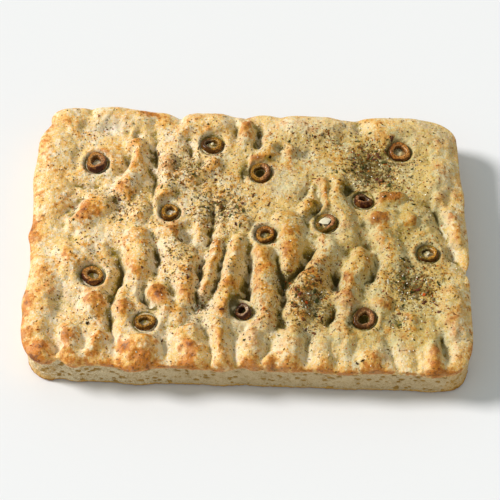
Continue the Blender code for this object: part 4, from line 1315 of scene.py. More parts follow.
@dataclass
class OliveSlices:
    """The olive rings: a rounded section carried round an uneven oval, one piece for each node."""

    relief: Relief
    shift: Shift
    outer_radius: float = 0.0075
    hole_radius: float = 0.0034
    thickness: float = 0.006
    lift: float = 0.0016
    roundness: tuple = (0.88, 0.8)
    wrinkle: float = 0.0001
    pinch: float = 0.1
    warp: tuple = (0.00022, 0.00012)
    dip: float = 0.00025
    around: int = 96
    across: int = 40
    seed: int = 400

    def _surface(self, ring: OliveRing, rng: Draw) -> tuple[Array, Array, Array]:
        """Places on a ring lying flat: middle radius plus a rounded box section, waved round.

        Args:
            ring: The ring.
            rng: The random draw.

        Returns:
            Points, the angle round the hole and the angle round the section.
        """
        turn, section = np.meshgrid(
            np.arange(self.around) * math.tau / self.around,
            np.arange(self.across) * math.tau / self.across,
            indexing="ij",
        )
        start = rng.uniform(0.0, math.tau, 6)
        middle = (self.outer_radius + self.hole_radius) / 2
        half = (self.outer_radius - self.hole_radius) / 2
        cos, sin = np.cos(section), np.sin(section)
        out = np.sign(cos) * np.abs(cos) ** self.roundness[0]
        up = np.sign(sin) * np.abs(sin) ** self.roundness[1]
        uneven = 1.0 + waves(turn, (0.07, 2, start[0]), (0.04, 3, start[1]))
        width = half * (1.0 + waves(turn, (0.1, 1, start[2]), (0.05, 4, start[3])))
        creased = np.sin(17 * turn + 2.0 * np.sin(3 * turn + start[4])) * np.clip(out, 0.0, 1.0)
        radius = middle * uneven + width * out + self.wrinkle * creased
        pinched = 1.0 - self.pinch * np.abs(out) ** 3
        warped = ring.warp * waves(turn, (self.warp[0], 2, start[5]), (self.warp[1], 5, 0.0))
        height = self.thickness / 2 * up * pinched * (1.0 + waves(turn, (0.08, 1, start[0]))) + warped
        dip = self.dip * np.clip(up, 0.0, 1.0) * np.exp(-((out + 0.1) ** 2) / 0.1)
        points = np.stack([radius * np.cos(turn), radius * np.sin(turn), height - dip], axis=-1)
        return points.reshape(-1, 3), turn.reshape(-1), section.reshape(-1)

    def _matrix(self, ring: OliveRing) -> Matrix:
        """The ring's place: on the dimple's floor, tilted so that its face looks its way.

        Args:
            ring: The ring.

        Returns:
            The place and the turn as a matrix.
        """
        floor = float(self.relief.form(np.array([ring.x]), np.array([ring.y]))[0])
        place = Matrix.Translation((ring.x, ring.y, floor + self.lift - ring.sink))
        swing = Matrix.Rotation(math.radians(ring.facing), 4, "Z")
        lean = Matrix.Rotation(math.radians(ring.tilt), 4, "Y")
        back = Matrix.Rotation(math.radians(-ring.facing), 4, "Z")
        size = Matrix.Diagonal((ring.size, ring.size * ring.squash, 1.0, 1.0))
        return place @ swing @ lean @ back @ size

    @staticmethod
    def _colours(ring: OliveRing, turn: Array, section: Array, start: float) -> Array:
        """Skin outside, flesh in two tones on the cut face, dark edges and pith round the hole.

        The flesh darkens down the hole's wall as painted shade.

        Args:
            ring: The ring.
            turn: Angle round the hole.
            section: Angle round the section.
            start: Where the waves of the colours start.

        Returns:
            One colour for each place.
        """
        names = (ring.skin, ring.face, ring.blush, "pith")
        skin, face, blush, pith = (np.array(OLIVE_COLOURS[name]) for name in names)
        out, up = np.cos(section), np.sin(section)
        uneven = waves(turn, (0.14, 3, start), (0.1, 7, 2 * start))
        outside = eased(0.42, 0.74, out + uneven)[:, None]
        inside = eased(-0.5, -0.88, out + 0.4 * uneven)[:, None]
        rim = eased(-0.1, -0.5, out)[:, None] * (1.0 - inside)
        edge = bell(out + uneven, 0.56, 0.16)[:, None]
        toward = np.cos(turn - math.radians(ring.blush_to)) + 1.6 * uneven
        share = eased(-0.35, 0.75, toward)[:, None]
        streak = 1.0 + 0.16 * np.sin(23 * turn + 5 * np.sin(2 * turn + start)) * np.clip(up, 0.0, 1.0)
        flesh = (face * (1.0 - share) + blush * share) * streak[:, None]
        # Darker down the hole's wall: painted shade
        flesh = flesh * (1.0 - 0.62 * inside) * (1.0 - 0.55 * edge) + 0.22 * rim * pith
        return flesh * (1.0 - outside) + skin * outside

    def build(self) -> list[Piece]:
        """Make every ring.

        Returns:
            One piece for each olive node, in the nodes' order.
        """
        index = np.arange(self.around * self.across).reshape(self.around, self.across)
        faces = band_faces(index, np.roll(index, -1, axis=0)).tolist()
        pieces = []
        for number, ring in enumerate(OLIVE_RINGS, start=1):
            rng = np.random.default_rng(self.seed + number)
            points, turn, section = self._surface(ring, rng)
            matrix = np.array(self._matrix(ring))
            placed = points @ matrix[:3, :3].T + matrix[:3, 3]
            piece = new_piece(f"olive_slice_{number:02d}", placed, faces, self.shift)
            put_values(piece, "flesh", self._colours(ring, turn, section, rng.uniform(0.0, 6.28)))
            pieces.append(piece)
        return pieces


class Shape(Enum):
    """The plain forms that scattered bits are cut from: corners round each and loops along it."""

    LEAF = (6, 4)
    NEEDLE = (4, 5)
    GRAIN = (5, 2)
    CHIP = (6, 2)


class Cut(NamedTuple):
    """How the bits of one piece are cut: the piece's name, their form, their curl and unevenness."""

    name: str
    shape: Shape
    bend: float = 0.0
    jitter: float = 0.12


class Topping(NamedTuple):
    """One kind of scattered bit: how large, how cut, how many, how much of it in the drifts."""

    lengths: tuple[float, float]
    width: float
    thickness: float
    cut: Cut
    count: int
    in_drifts: float
    seed: int
    colours: tuple
    slot: str = "herbs"


HERB_GREENS = (
    (0.15, 0.105, 0.018), (0.24, 0.17, 0.04), (0.095, 0.068, 0.01), (0.15, 0.078, 0.014),
)
PEPPER_DARKS = (
    (0.045, 0.013, 0.003), (0.1, 0.028, 0.004), (0.2, 0.06, 0.008), (0.32, 0.105, 0.014),
)
CHILLI_REDS = (
    (0.38, 0.075, 0.01), (0.27, 0.062, 0.008), (0.52, 0.18, 0.025), (0.17, 0.036, 0.006),
)
LEAF_DARKS = (
    (0.06, 0.062, 0.018), (0.105, 0.098, 0.03), (0.13, 0.05, 0.03), (0.2, 0.08, 0.03),
    (0.3, 0.24, 0.12),
)
CRUMB_CREAMS = ((0.92, 0.88, 0.74), (0.88, 0.8, 0.62))

TOPPINGS = table(
    Topping, 3,
    ((0.9, 2.5), 0.8, 0.3, Cut("herb_flakes", Shape.LEAF, 0.35), 560, 0.8, 201, HERB_GREENS),
    ((2.0, 4.4), 1.7, 0.45, Cut("herb_leaves", Shape.LEAF, 0.45), 190, 0.97, 206, LEAF_DARKS),
    ((2.0, 4.6), 0.42, 0.36, Cut("herb_needles", Shape.NEEDLE, 0.22), 150, 0.55, 202, HERB_GREENS),
    ((0.6, 1.6), 0.85, 0.55, Cut("pepper_grains", Shape.GRAIN), 1600, 0.58, 203, PEPPER_DARKS),
    ((0.7, 2.0), 1.0, 0.28, Cut("chilli_chips", Shape.CHIP), 900, 0.48, 204, CHILLI_REDS),
    ((0.5, 1.4), 0.9, 0.6, Cut("crumb_specks", Shape.GRAIN), 500, 0.4, 205, CRUMB_CREAMS, "crumb"),
)

BIT_CUT = Cut("loose_bits", Shape.CHIP, 0.1, 0.09)
BIT_SEED = 207
BIT_COLOURS = {
    "white": (0.74, 0.67, 0.48),
    "cream": (0.82, 0.7, 0.43),
    "yellow": (0.8, 0.43, 0.06),
    "black": (0.03, 0.014, 0.005),
    "green": (0.07, 0.085, 0.025),
    "purple": (0.12, 0.03, 0.022),
    "red": (0.5, 0.08, 0.014),
}
LOOSE_BITS = table(
    Bit, 6,
    (52, 7.2, 2.8, 8.4, 9, 1.4, 20, "white"), (54, 5.2, 1.2, 2.6, 1.8, 1.4, 70, "cream"),
    (-51.8, 12.8, 2.2, 4.4, 3, 2.8, 25, "cream"), (-53.2, 11.2, 2, 3, 1.6, 1.8, 130, "white"),
    (-107.2, 50, 1.4, 5, 2.8, 2.2, 10, "white"), (-27.5, 72.2, 1, 2.6, 2.2, 1.8, 100, "cream"),
    (122.2, -15, 1, 3.4, 2.2, 1.8, 60, "white"), (94, -39, 0.6, 5, 1.5, 1.2, 105, "white"),
    (19, -60, 0.6, 5.6, 1.2, 1, 62, "cream"), (-26, -22, 0.4, 2.2, 1.6, 1.2, 30, "white"),
    (-34, -60, 0.4, 2.8, 1.6, 1.2, 110, "white"), (-32, -65.5, 0.4, 2.2, 1.2, 1, 80, "white"),
    (44, 66, 0.4, 2.4, 1.8, 1.4, 15, "white"), (40.5, 64, 0.4, 2.2, 1.6, 1.2, 75, "white"),
    (36, 69, 0.4, 2.6, 1.4, 1, 140, "cream"), (-83, 36, 0.4, 3, 2.2, 1.2, 60, "yellow"),
    (77, -99, 0.4, 4.2, 1.1, 0.9, 35, "black"), (73.5, -100, 0.4, 2.6, 1.1, 0.9, 120, "black"),
    (-103, -76, 0.4, 2.6, 2, 0.9, 50, "black"), (-31, 86, 0.4, 1.8, 1.4, 0.9, 20, "black"),
    (13, 60, 0.3, 3, 2, 1, 70, "black"), (36, -54, 0.4, 4.4, 2.6, 1.2, 40, "purple"),
    (33, -50, 0.4, 3.2, 2, 1, 110, "purple"), (40, -59, 0.4, 3, 2, 1, 150, "red"),
    (47, -55, 0.3, 5.2, 3.6, 1, 80, "green"), (25, -40, 0.3, 4, 2.6, 1, 20, "green"),
    (105, -34, 0.3, 4.4, 3, 1, 70, "green"), (114, -42, 0.3, 3.6, 2.2, 1, 10, "purple"),
    (118, -47, 0.3, 3, 2, 1, 50, "red"), (78, 57, 0.3, 4.8, 2.6, 1, 95, "green"),
    (88, 47, 0.3, 4, 2.4, 1, 35, "purple"), (96, 40, 0.3, 3.6, 2.2, 1, 65, "green"),
    (102, -69, 0.3, 4.2, 3, 1, 15, "green"),
)


@dataclass
class Scatter:
    """Lays the toppings on the crust, each kind as one mesh of many small closed bits."""

    relief: Relief
    shift: Shift
    tries: int = 14
    sink: float = 0.25
    tip: float = 0.22
    everywhere: float = 0.32
    clump_step: float = 0.011
    bare_west: float = 0.035
    bare_rim: tuple = (0.002, 0.028)
    at_bare: float = 0.12
    least_inset: float = 0.0015
    ring_clearing: float = 0.0088
    slope_step: float = 0.0006

    @staticmethod
    def _template(shape: Shape) -> tuple[Array, Array]:
        """Corners and triangles of a form one unit long, wide and thick, centred on the origin.

        Loops of corners, whose girth shrinks towards the ends, are closed by a corner at each end.

        Args:
            shape: Which form.

        Returns:
            Corner places and triangle corners.
        """
        sides, loops = shape.value
        way = np.linspace(-0.5, 0.5, loops + 2)[1:-1]
        girth = 1.0 - 1.2 * way**2 if shape is Shape.NEEDLE else np.sqrt(1.0 - (1.8 * way) ** 2)
        turn = np.arange(sides) * math.tau / sides + 0.3
        across = 0.5 * np.cos(turn)[None, :] * girth[:, None]
        upward = 0.5 * np.sin(turn)[None, :] * girth[:, None]
        lengthwise = np.broadcast_to(way[:, None], across.shape)
        tube = np.stack([lengthwise, across, upward], axis=-1).reshape(-1, 3)
        corners = np.concatenate([tube, [[-0.5, 0.0, 0.0], [0.5, 0.0, 0.0]]])
        index = np.arange(loops * sides).reshape(loops, sides)
        quads = band_faces(index[:-1], index[1:])
        tail, tip = np.full(sides, loops * sides), np.full(sides, loops * sides + 1)
        tail = np.stack([tail, index[0], np.roll(index[0], -1)], axis=-1)
        tip = np.stack([tip, np.roll(index[-1], -1), index[-1]], axis=-1)
        triangles = np.concatenate([quads[:, :3], quads[:, (0, 2, 3)], tail, tip])
        return corners, triangles[:, ::-1]

    def _spots(self, kind: Topping, rng: Draw) -> tuple[Array, Array]:
        """Draw places until enough stay: some everywhere, more in the drifts, few at bare edges.

        Args:
            kind: The topping.
            rng: The random draw.

        Returns:
            x and y of the bits.
        """
        outline = self.relief.outline
        tries = kind.count * self.tries
        x = rng.uniform(-outline.half_width, outline.half_width, tries)
        y = rng.uniform(-outline.half_depth, outline.half_depth, tries)
        drift = patch_strength(x, y, HERB_PATCHES)
        inside = outline.inset(x, y)
        covered = eased(0.0, self.bare_west, x + outline.half_width) * eased(*self.bare_rim, inside)
        clump = 0.65 + 0.6 * lattice_noise(x, y, self.clump_step, kind.seed + 7)
        chance = (1.0 - kind.in_drifts) * self.everywhere * clump + kind.in_drifts * drift
        chance = chance * from_low(self.at_bare, covered)
        off = np.min([np.hypot(x - ring.x, y - ring.y) / ring.size for ring in OLIVE_RINGS], axis=0)
        keep = (rng.uniform(size=tries) < chance) & (inside > self.least_inset) & (off > self.ring_clearing)
        return x[keep][: kind.count], y[keep][: kind.count]

    def build(self, kind: Topping) -> Piece:
        """Make one kind: copies of its form, scaled, bent, jittered, turned and laid on the crust.

        Args:
            kind: The topping.

        Returns:
            The piece, with each bit's colour stored at its corners.
        """
        rng = np.random.default_rng(kind.seed)
        x, y = self._spots(kind, rng)
        count = len(x)
        length = rng.uniform(*kind.lengths, count)
        width = kind.width * rng.uniform(0.6, 1.3, count)
        thickness = kind.thickness * rng.uniform(0.7, 1.3, count)
        tones = np.array(kind.colours)[rng.integers(0, len(kind.colours), count)]
        tones = tones * rng.uniform(0.75, 1.3, (count, 1))
        spin = rng.uniform(0.0, math.tau, count)
        spots = np.stack([x, y, thickness * (0.5 - self.sink), spin], axis=-1)
        return self._lay(kind.cut, spots, np.stack([length, width, thickness], axis=-1), tones, rng)

    def build_bits(self) -> Piece:
        """Make the few larger bits that lie at their own places.

        Returns:
            The piece, with each bit's colour stored at its corners.
        """
        numbers = np.array([bit[:7] for bit in LOOSE_BITS])
        spots = np.column_stack([numbers[:, :3], np.radians(numbers[:, 6])])
        tones = np.array([BIT_COLOURS[bit.colour] for bit in LOOSE_BITS])
        return self._lay(BIT_CUT, spots, numbers[:, 3:6], tones, np.random.default_rng(BIT_SEED))

    def _lay(self, cut: Cut, spots: Array, scale: Array, tones: Array, rng: Draw) -> Piece:
        """Copy a form to its places: scaled, bent, jittered, turned and laid on the crust.

        A bit bends sideways and up by its curl times the square of the way from its middle.

        Args:
            cut: How the bits are cut.
            spots: x, y, rise over the crust and turn, one row for each bit.
            scale: Length, width and thickness, one row for each bit.
            tones: Colour, one row for each bit.
            rng: The random draw.

        Returns:
            The piece.
        """
        corners, triangles = self._template(cut.shape)
        x, y, lift, spin = spots.T
        count, size = len(x), len(corners)
        bits = corners[None] + rng.normal(0.0, cut.jitter, (count, size, 3))
        bits = bits * scale[:, None, :]
        curl = cut.bend * rng.normal(0.0, 1.0, count)
        squared = bits[:, :, 0] ** 2
        bits[:, :, 1] += curl[:, None] * squared / scale[:, :1]
        bits[:, :, 2] += 0.5 * np.abs(curl)[:, None] * squared / scale[:, :1]
        axes = self._lie(x, y, spin, rng)
        place = np.stack([x, y, self.relief.height(x, y)], axis=-1) + axes[2] * lift[:, None]
        bits = sum(bits[:, :, part, None] * axis[:, None] for part, axis in enumerate(axes))
        bits = bits + place[:, None]
        faces = (triangles[None] + size * np.arange(count)[:, None, None]).reshape(-1, 3)
        piece = new_piece(cut.name, bits.reshape(-1, 3), faces.tolist(), self.shift)
        if cut.shape is Shape.CHIP:
            piece.data.shade_flat()
        put_values(piece, "tone", np.repeat(tones, size, axis=0))
        return piece

    def _lie(self, x: Array, y: Array, spin: Array, rng: Draw) -> tuple[Array, Array, Array]:
        """Directions of each bit: its face along the crust's normal, turned, and tipped at random.

        Args:
            x, y: Places in the plan.
            spin: Turn of each bit.
            rng: The random draw.

        Returns:
            The directions of its length, width and thickness.
        """
        height, step = self.relief.height, self.slope_step
        slope_x = (height(x + step, y) - height(x - step, y)) / (2 * step)
        slope_y = (height(x, y + step) - height(x, y - step)) / (2 * step)
        tip = rng.normal(0.0, self.tip, (2, len(x)))
        normal = np.stack([-slope_x + tip[0], -slope_y + tip[1], np.ones_like(x)], axis=-1)
        normal /= np.linalg.norm(normal, axis=-1, keepdims=True)
        lengthwise = np.stack([np.cos(spin), np.sin(spin), np.zeros_like(x)], axis=-1)
        lengthwise -= normal * np.sum(lengthwise * normal, axis=-1, keepdims=True)
        lengthwise /= np.linalg.norm(lengthwise, axis=-1, keepdims=True)
        return lengthwise, np.cross(normal, lengthwise), normal


class Layer(NamedTuple):
    """A colour, the stretch of its mask over which it comes in, and its share at both ends."""

    colour: tuple
    low: float
    high: float
    first: float = 0.0
    last: float = 1.0


@dataclass(frozen=True)
class Recipe:
    """Adds shader nodes to one tree and links them."""

    tree: NodeTree

    def fill(self, node: Node, inputs: dict) -> None:
        """Fill a node's inputs with sockets or plain values.

        Args:
            node: The node.
            inputs: Sockets or values by the input's name or number.
        """
        for name, value in inputs.items():
            if isinstance(value, Socket):
                self.tree.links.new(value, node.inputs[name])
            else:
                node.inputs[name].default_value = value

    def add(self, kind: str, inputs: dict | None = None, **settings: object) -> Node:
        """Add a node, set its properties and fill its inputs.

        Args:
            kind: The node's type.
            inputs: Sockets or values by the input's name or number.
            settings: The node's own properties.

        Returns:
            The new node.
        """
        node = self.tree.nodes.new(kind)
        for name, value in settings.items():
            setattr(node, name, value)
        self.fill(node, inputs or {})
        return node

    def math(self, operation: str, first: object, second: object = 0.0) -> Socket:
        """One sum of two values, each a socket or a number."""
        return self.add("ShaderNodeMath", {0: first, 1: second}, operation=operation).outputs[0]

    def noise(self, vector: Socket, scale: object, detail: float = 2.0) -> Socket:
        """Noise value at a scale in waves for each metre."""
        inputs = {"Vector": vector, "Scale": scale, "Detail": detail, "Roughness": 0.55}
        return self.add("ShaderNodeTexNoise", inputs).outputs["Fac"]

    def spread(
        self, value: Socket, low: float, high: float, first: float = 0.0, last: float = 1.0
    ) -> Socket:
        """Stretch a value from low..high to first..last, eased and clamped."""
        inputs = {"Value": value, "From Min": low, "From Max": high, "To Min": first, "To Max": last}
        return self.add("ShaderNodeMapRange", inputs, interpolation_type="SMOOTHSTEP").outputs["Result"]

    def mix(self, share: object, first: object, second: object, blend: str = "MIX") -> Socket:
        """Blend two colours, each a socket or plain, by a share."""
        pair = [(*part, 1.0) if isinstance(part, tuple) else part for part in (first, second)]
        inputs = {0: share, 6: pair[0], 7: pair[1]}
        return self.add("ShaderNodeMix", inputs, data_type="RGBA", blend_type=blend).outputs[2]

    def laid(self, colour: object, layer: Layer, mask: Socket) -> Socket:
        """Lay a layer over a colour where its mask says."""
        return self.mix(self.spread(mask, *layer[1:]), colour, layer.colour)

    def attribute(self, name: str, output: str = "Fac") -> Socket:
        """A value stored at the corners."""
        return self.add("ShaderNodeAttribute", None, attribute_name=name).outputs[output]

    def group(self, group: NodeTree, vector: Socket, scale: float) -> bpy.types.NodeOutputs:
        """Outputs of a group at a place and a scale."""
        return self.add("ShaderNodeGroup", {"Vector": vector, "Scale": scale}, node_tree=group).outputs

    def varied(self, base: Socket, *parts: tuple[Socket, float]) -> Socket:
        """Add noises to a value, each centred on its middle and weighted.

        Args:
            base: The value.
            parts: Noises and their weights.

        Returns:
            The varied value.
        """
        for noise, weight in parts:
            swing = self.math("MULTIPLY", self.math("SUBTRACT", noise, 0.5), weight)
            base = self.math("ADD", base, swing)
        return base


MOTTLE_LAYERS = {"Clouds": (1.0, 4.0), "Blotches": (4.3, 3.0), "Specks": (13.0, 2.0)}


def open_group(name: str, outputs: tuple[str, ...]) -> tuple[Recipe, Socket, Socket]:
    """Open a node group with the inputs Vector and Scale.

    Args:
        name: Name of the group.
        outputs: Names of its outputs.

    Returns:
        A recipe on the group, its vector and its scale.
    """
    group = bpy.data.node_groups.new(name, "ShaderNodeTree")
    group.interface.new_socket("Vector", in_out="INPUT", socket_type="NodeSocketVector")
    group.interface.new_socket("Scale", in_out="INPUT", socket_type="NodeSocketFloat")
    for output in outputs:
        group.interface.new_socket(output, in_out="OUTPUT", socket_type="NodeSocketFloat")
    recipe = Recipe(group)
    source = recipe.add("NodeGroupInput").outputs
    return recipe, source["Vector"], source["Scale"]


def mottle_group() -> NodeTree:
    """Group that makes uneven baked looks: broad clouds, small blotches and tiny specks.

    Returns:
        The group, with inputs Vector and Scale and outputs Clouds, Blotches and Specks.
    """
    recipe, vector, scale = open_group("mottle", tuple(MOTTLE_LAYERS))
    layers = {
        name: recipe.noise(vector, recipe.math("MULTIPLY", scale, times), detail)
        for name, (times, detail) in MOTTLE_LAYERS.items()
    }
    recipe.add("NodeGroupOutput", layers)
    return recipe.tree


def grain_group() -> NodeTree:
    """Group that makes a fine crumbly height: a noise less the distances of a cell pattern.

    Returns:
        The group, with inputs Vector and Scale and output Height.
    """
    recipe, vector, scale = open_group("grain", ("Height",))
    coarse = recipe.noise(vector, scale, 4.0)
    inputs = {"Vector": vector, "Scale": recipe.math("MULTIPLY", scale, 0.75), "Smoothness": 0.6}
    cells = recipe.add("ShaderNodeTexVoronoi", inputs, feature="SMOOTH_F1")
    pits = recipe.math("MULTIPLY", cells.outputs["Distance"], 0.45)
    recipe.add("NodeGroupOutput", {"Height": recipe.math("SUBTRACT", coarse, pits)})
    return recipe.tree


class Bump(NamedTuple):
    """A finish's bump: scale of its fine grain, depth, strength, scale and weight of a coarse one."""

    fine: float
    distance: float
    strength: float = 1.0
    coarse: float = 0.0
    weight: float = 0.0


@dataclass(frozen=True)
class Finish:
    """What every finish shares: its groups, how its material opens and closes, and its bump."""

    mottle: NodeTree
    grain: NodeTree

    @staticmethod
    def _open(name: str) -> tuple[Material, Recipe, Socket]:
        """Open a new material.

        Args:
            name: Name of the material.

        Returns:
            The material, its recipe and its object coordinates.
        """
        material = bpy.data.materials.new(name)
        material.use_nodes = True
        recipe = Recipe(material.node_tree)
        return material, recipe, recipe.add("ShaderNodeTexCoord").outputs["Object"]

    @staticmethod
    def _shade(recipe: Recipe, colour: Socket, rough: Socket, inputs: dict) -> None:
        """Fill the inputs of the material's shader."""
        shader = recipe.tree.nodes["Principled BSDF"]
        recipe.fill(shader, {"Base Color": colour, "Roughness": rough, **inputs})

    def _bumped(self, recipe: Recipe, place: Socket, bump: Bump) -> Socket:
        """Normal of a crumbly surface.

        Args:
            recipe: The material's recipe.
            place: Its object coordinates.
            bump: Scales and depth.

        Returns:
            The normal.
        """
        height = recipe.group(self.grain, place, bump.fine)["Height"]
        if bump.coarse:
            coarse = recipe.group(self.grain, place, bump.coarse)["Height"]
            height = recipe.math("ADD", recipe.math("MULTIPLY", coarse, bump.weight), height)
        inputs = {"Height": height, "Strength": bump.strength, "Distance": bump.distance}
        return recipe.add("ShaderNodeBump", inputs).outputs["Normal"]


class Masks(NamedTuple):
    """What the layers of the crust's colour share: place, noises at two places, and stored maps."""

    place: Socket
    moved: Socket
    near: bpy.types.NodeOutputs
    other: bpy.types.NodeOutputs
    level: Socket
    hollow: Socket
    calm: Socket
    cloud: Socket


@dataclass(frozen=True)
class CrustFinish(Finish):
    """Baked crust: cream to gold to toasted brown, olive in the hollows, floury where pale.

    The olive in the hollows is partly staining and partly painted shade, the deep layer is painted shade,
    and a tint paints light towards the west and shade towards the east.
    """

    cream: tuple = (0.865, 0.602, 0.212)
    gold: Layer = Layer((0.82, 0.4, 0.055), 0.05, 0.6)
    toast: Layer = Layer((0.6, 0.21, 0.018), 0.5, 1.0)
    scorch: Layer = Layer((0.24, 0.068, 0.006), 1.1, 1.6)
    # Hollow: olive staining and painted shade. Deep: painted shade at the deepest hollows
    hollow: Layer = Layer((0.372, 0.258, 0.008), 0.1, 1.4, 0.0, 0.8)
    deep: Layer = Layer((0.092, 0.066, 0.002), 1.15, 2.0, 0.0, 0.85)
    smear: Layer = Layer((0.13, 0.104, 0.018), 0.35, 0.95, 0.0, 0.72)
    dust: Layer = Layer((0.13, 0.066, 0.01), 0.125, 0.2, 0.0, 0.7)
    dough: tuple = (0.875, 0.805, 0.65)
    floury: tuple = (0.876, 0.765, 0.5)
    freckle: tuple = (0.34, 0.095, 0.012)
    # East darkens the crust and west lightens it: painted shade and painted light across the loaf
    east: tuple = (0.715, 0.69, 0.51)
    west: tuple = (1.045, 1.0, 1.01)
    mottle_scales: tuple = (75.0, 62.0)
    calm_cream: float = 0.4
    freckle_scale: float = 820.0
    freckled: tuple = (0.555, 0.62, 0.0, 0.8)
    fleck_scale: float = 900.0
    flecked: tuple = (0.55, 0.62)
    dust_scale: float = 560.0
    eastward: tuple = (-0.12, 0.12)
    roughness: tuple = (0.3, 0.7, 0.34, 0.54)
    damp: tuple = (-0.3, 0.9, 0.0, 0.45)
    specular: float = 0.24
    subsurface: float = 0.2
    bleed: tuple = (1.0, 0.48, 0.18)
    bleed_reach: float = 0.0012
    bump: Bump = Bump(950.0, 0.0004, coarse=420.0, weight=1.8)

    def _masks(self, recipe: Recipe, place: Socket) -> Masks:
        """Work out what the layers share.

        Args:
            recipe: The material's recipe.
            place: Its object coordinates.

        Returns:
            The masks.
        """
        moved = recipe.add("ShaderNodeMapping", {"Vector": place, "Location": (1.0, 2.0, 3.0)})
        near = recipe.group(self.mottle, place, self.mottle_scales[0])
        other = recipe.group(self.mottle, moved.outputs["Vector"], self.mottle_scales[1])
        noises = (near["Clouds"], 1.7), (near["Blotches"], 2.0), (near["Specks"], 0.6)
        level = recipe.varied(recipe.attribute("brown"), *noises)
        hollow = recipe.varied(recipe.attribute("hollow"), (other["Blotches"], 1.2), (near["Specks"], 0.6))
        calm = recipe.attribute("calm")
        cloud = recipe.varied(recipe.attribute("dust"), (near["Blotches"], 2.2), (other["Specks"], 1.6))
        return Masks(place, moved.outputs["Vector"], near, other, level, hollow, calm, cloud)

    def _baked(self, recipe: Recipe, masks: Masks) -> Socket:
        """Cream, gold, toast and scorch by the level of browning, with freckles over them.

        Args:
            recipe: The material's recipe.
            masks: What the layers share.

        Returns:
            The colour.
        """
        level, calm = masks.level, masks.calm
        colour = recipe.laid(self.cream, self.gold, level)
        colour = recipe.mix(recipe.math("MULTIPLY", calm, self.calm_cream), colour, self.cream)
        colour = recipe.laid(colour, self.toast, level)
        colour = recipe.laid(colour, self.scorch, level)
        dots = recipe.spread(recipe.noise(masks.place, self.freckle_scale), *self.freckled)
        clouds = recipe.spread(masks.other["Clouds"], 0.46, 0.62, 0.1, 0.9)
        where = recipe.math("MINIMUM", recipe.math("ADD", clouds, recipe.attribute("dust")), 1.0)
        where = recipe.math("MULTIPLY", where, recipe.spread(calm, 0.0, 1.0, 1.0, 0.3))
        return recipe.mix(recipe.math("MULTIPLY", dots, where), colour, self.freckle)

    def _floured(self, recipe: Recipe, masks: Masks, colour: Socket) -> Socket:
        """Olive tones in the hollows, then dough, flour and flecks where it is pale, then the deeps.

        The olive tones are staining and painted shade, the dough on slopes that face west is painted light,
        and the deeps are painted shade.

        Args:
            recipe: The material's recipe.
            masks: What the layers share.
            colour: The colour under them.

        Returns:
            The colour.
        """
        level, blotches, others = masks.level, masks.near["Blotches"], masks.other["Blotches"]
        # Olive staining and painted shade in the hollows
        colour = recipe.laid(colour, self.hollow, masks.hollow)
        pale = recipe.math("MULTIPLY", recipe.attribute("pale"), recipe.spread(blotches, 0.34, 0.56))
        pale = recipe.math("MULTIPLY", pale, recipe.spread(level, 0.45, 0.95, 1.0, 0.25))
        # Dough where pale; on slopes that face west it is painted light
        colour = recipe.mix(pale, colour, self.dough)
        zone = recipe.varied(others, (masks.other["Clouds"], 1.0), (masks.near["Specks"], 0.5))
        plain = recipe.spread(level, 0.3, 0.8, 0.85, 0.1)
        flour = recipe.math("MULTIPLY", recipe.spread(zone, 0.5, 0.66), plain)
        colour = recipe.mix(flour, colour, self.floury)
        flecks = recipe.spread(recipe.noise(masks.moved, self.fleck_scale), *self.flecked)
        flecks = recipe.math("MULTIPLY", flecks, recipe.spread(level, 0.25, 0.75, 0.65, 0.1))
        colour = recipe.mix(flecks, colour, self.dough)
        # Painted shade at the deepest hollows
        return recipe.laid(colour, self.deep, masks.hollow)

    def _dusted(self, recipe: Recipe, masks: Masks, colour: Socket) -> Socket:
        """A smear and specks of herb dust in the drifts, and a duller tone towards the east.

        The tint darkens the crust towards the east and lightens it towards the west: painted shade and
        painted light.

        Args:
            recipe: The material's recipe.
            masks: What the layers share.
            colour: The colour under them.

        Returns:
            The colour.
        """
        colour = recipe.laid(colour, self.smear, masks.cloud)
        drift = recipe.math("MULTIPLY", recipe.attribute("dust"), 0.16)
        specks = recipe.noise(masks.place, self.dust_scale)
        dust = recipe.varied(drift, (specks, 1.0), (masks.near["Blotches"], 0.35))
        colour = recipe.laid(colour, self.dust, dust)
        # Painted shade towards the east, painted light towards the west
        across = recipe.add("ShaderNodeSeparateXYZ", {"Vector": masks.place}).outputs["X"]
        calm = recipe.spread(masks.calm, 0.0, 1.0, 1.0, 0.5)
        eastward = recipe.math("MULTIPLY", recipe.spread(across, *self.eastward), calm)
        return recipe.mix(1.0, colour, recipe.mix(eastward, self.west, self.east), "MULTIPLY")

    def make(self) -> Material:
        """Build the crust's material.

        Returns:
            The material.
        """
        material, recipe, place = self._open("baked_crust")
        masks = self._masks(recipe, place)
        colour = self._floured(recipe, masks, self._baked(recipe, masks))
        colour = self._dusted(recipe, masks, colour)
        damp = recipe.spread(recipe.varied(masks.hollow, (masks.cloud, 1.0)), *self.damp)
        rough = recipe.math("ADD", recipe.spread(masks.near["Blotches"], *self.roughness), damp)
        inputs = {
            "Specular IOR Level": self.specular,
            "Subsurface Weight": self.subsurface,
            "Subsurface Radius": self.bleed,
            "Subsurface Scale": self.bleed_reach,
            "Normal": self._bumped(recipe, place, self.bump),
        }
        self._shade(recipe, colour, rough, inputs)
        return material


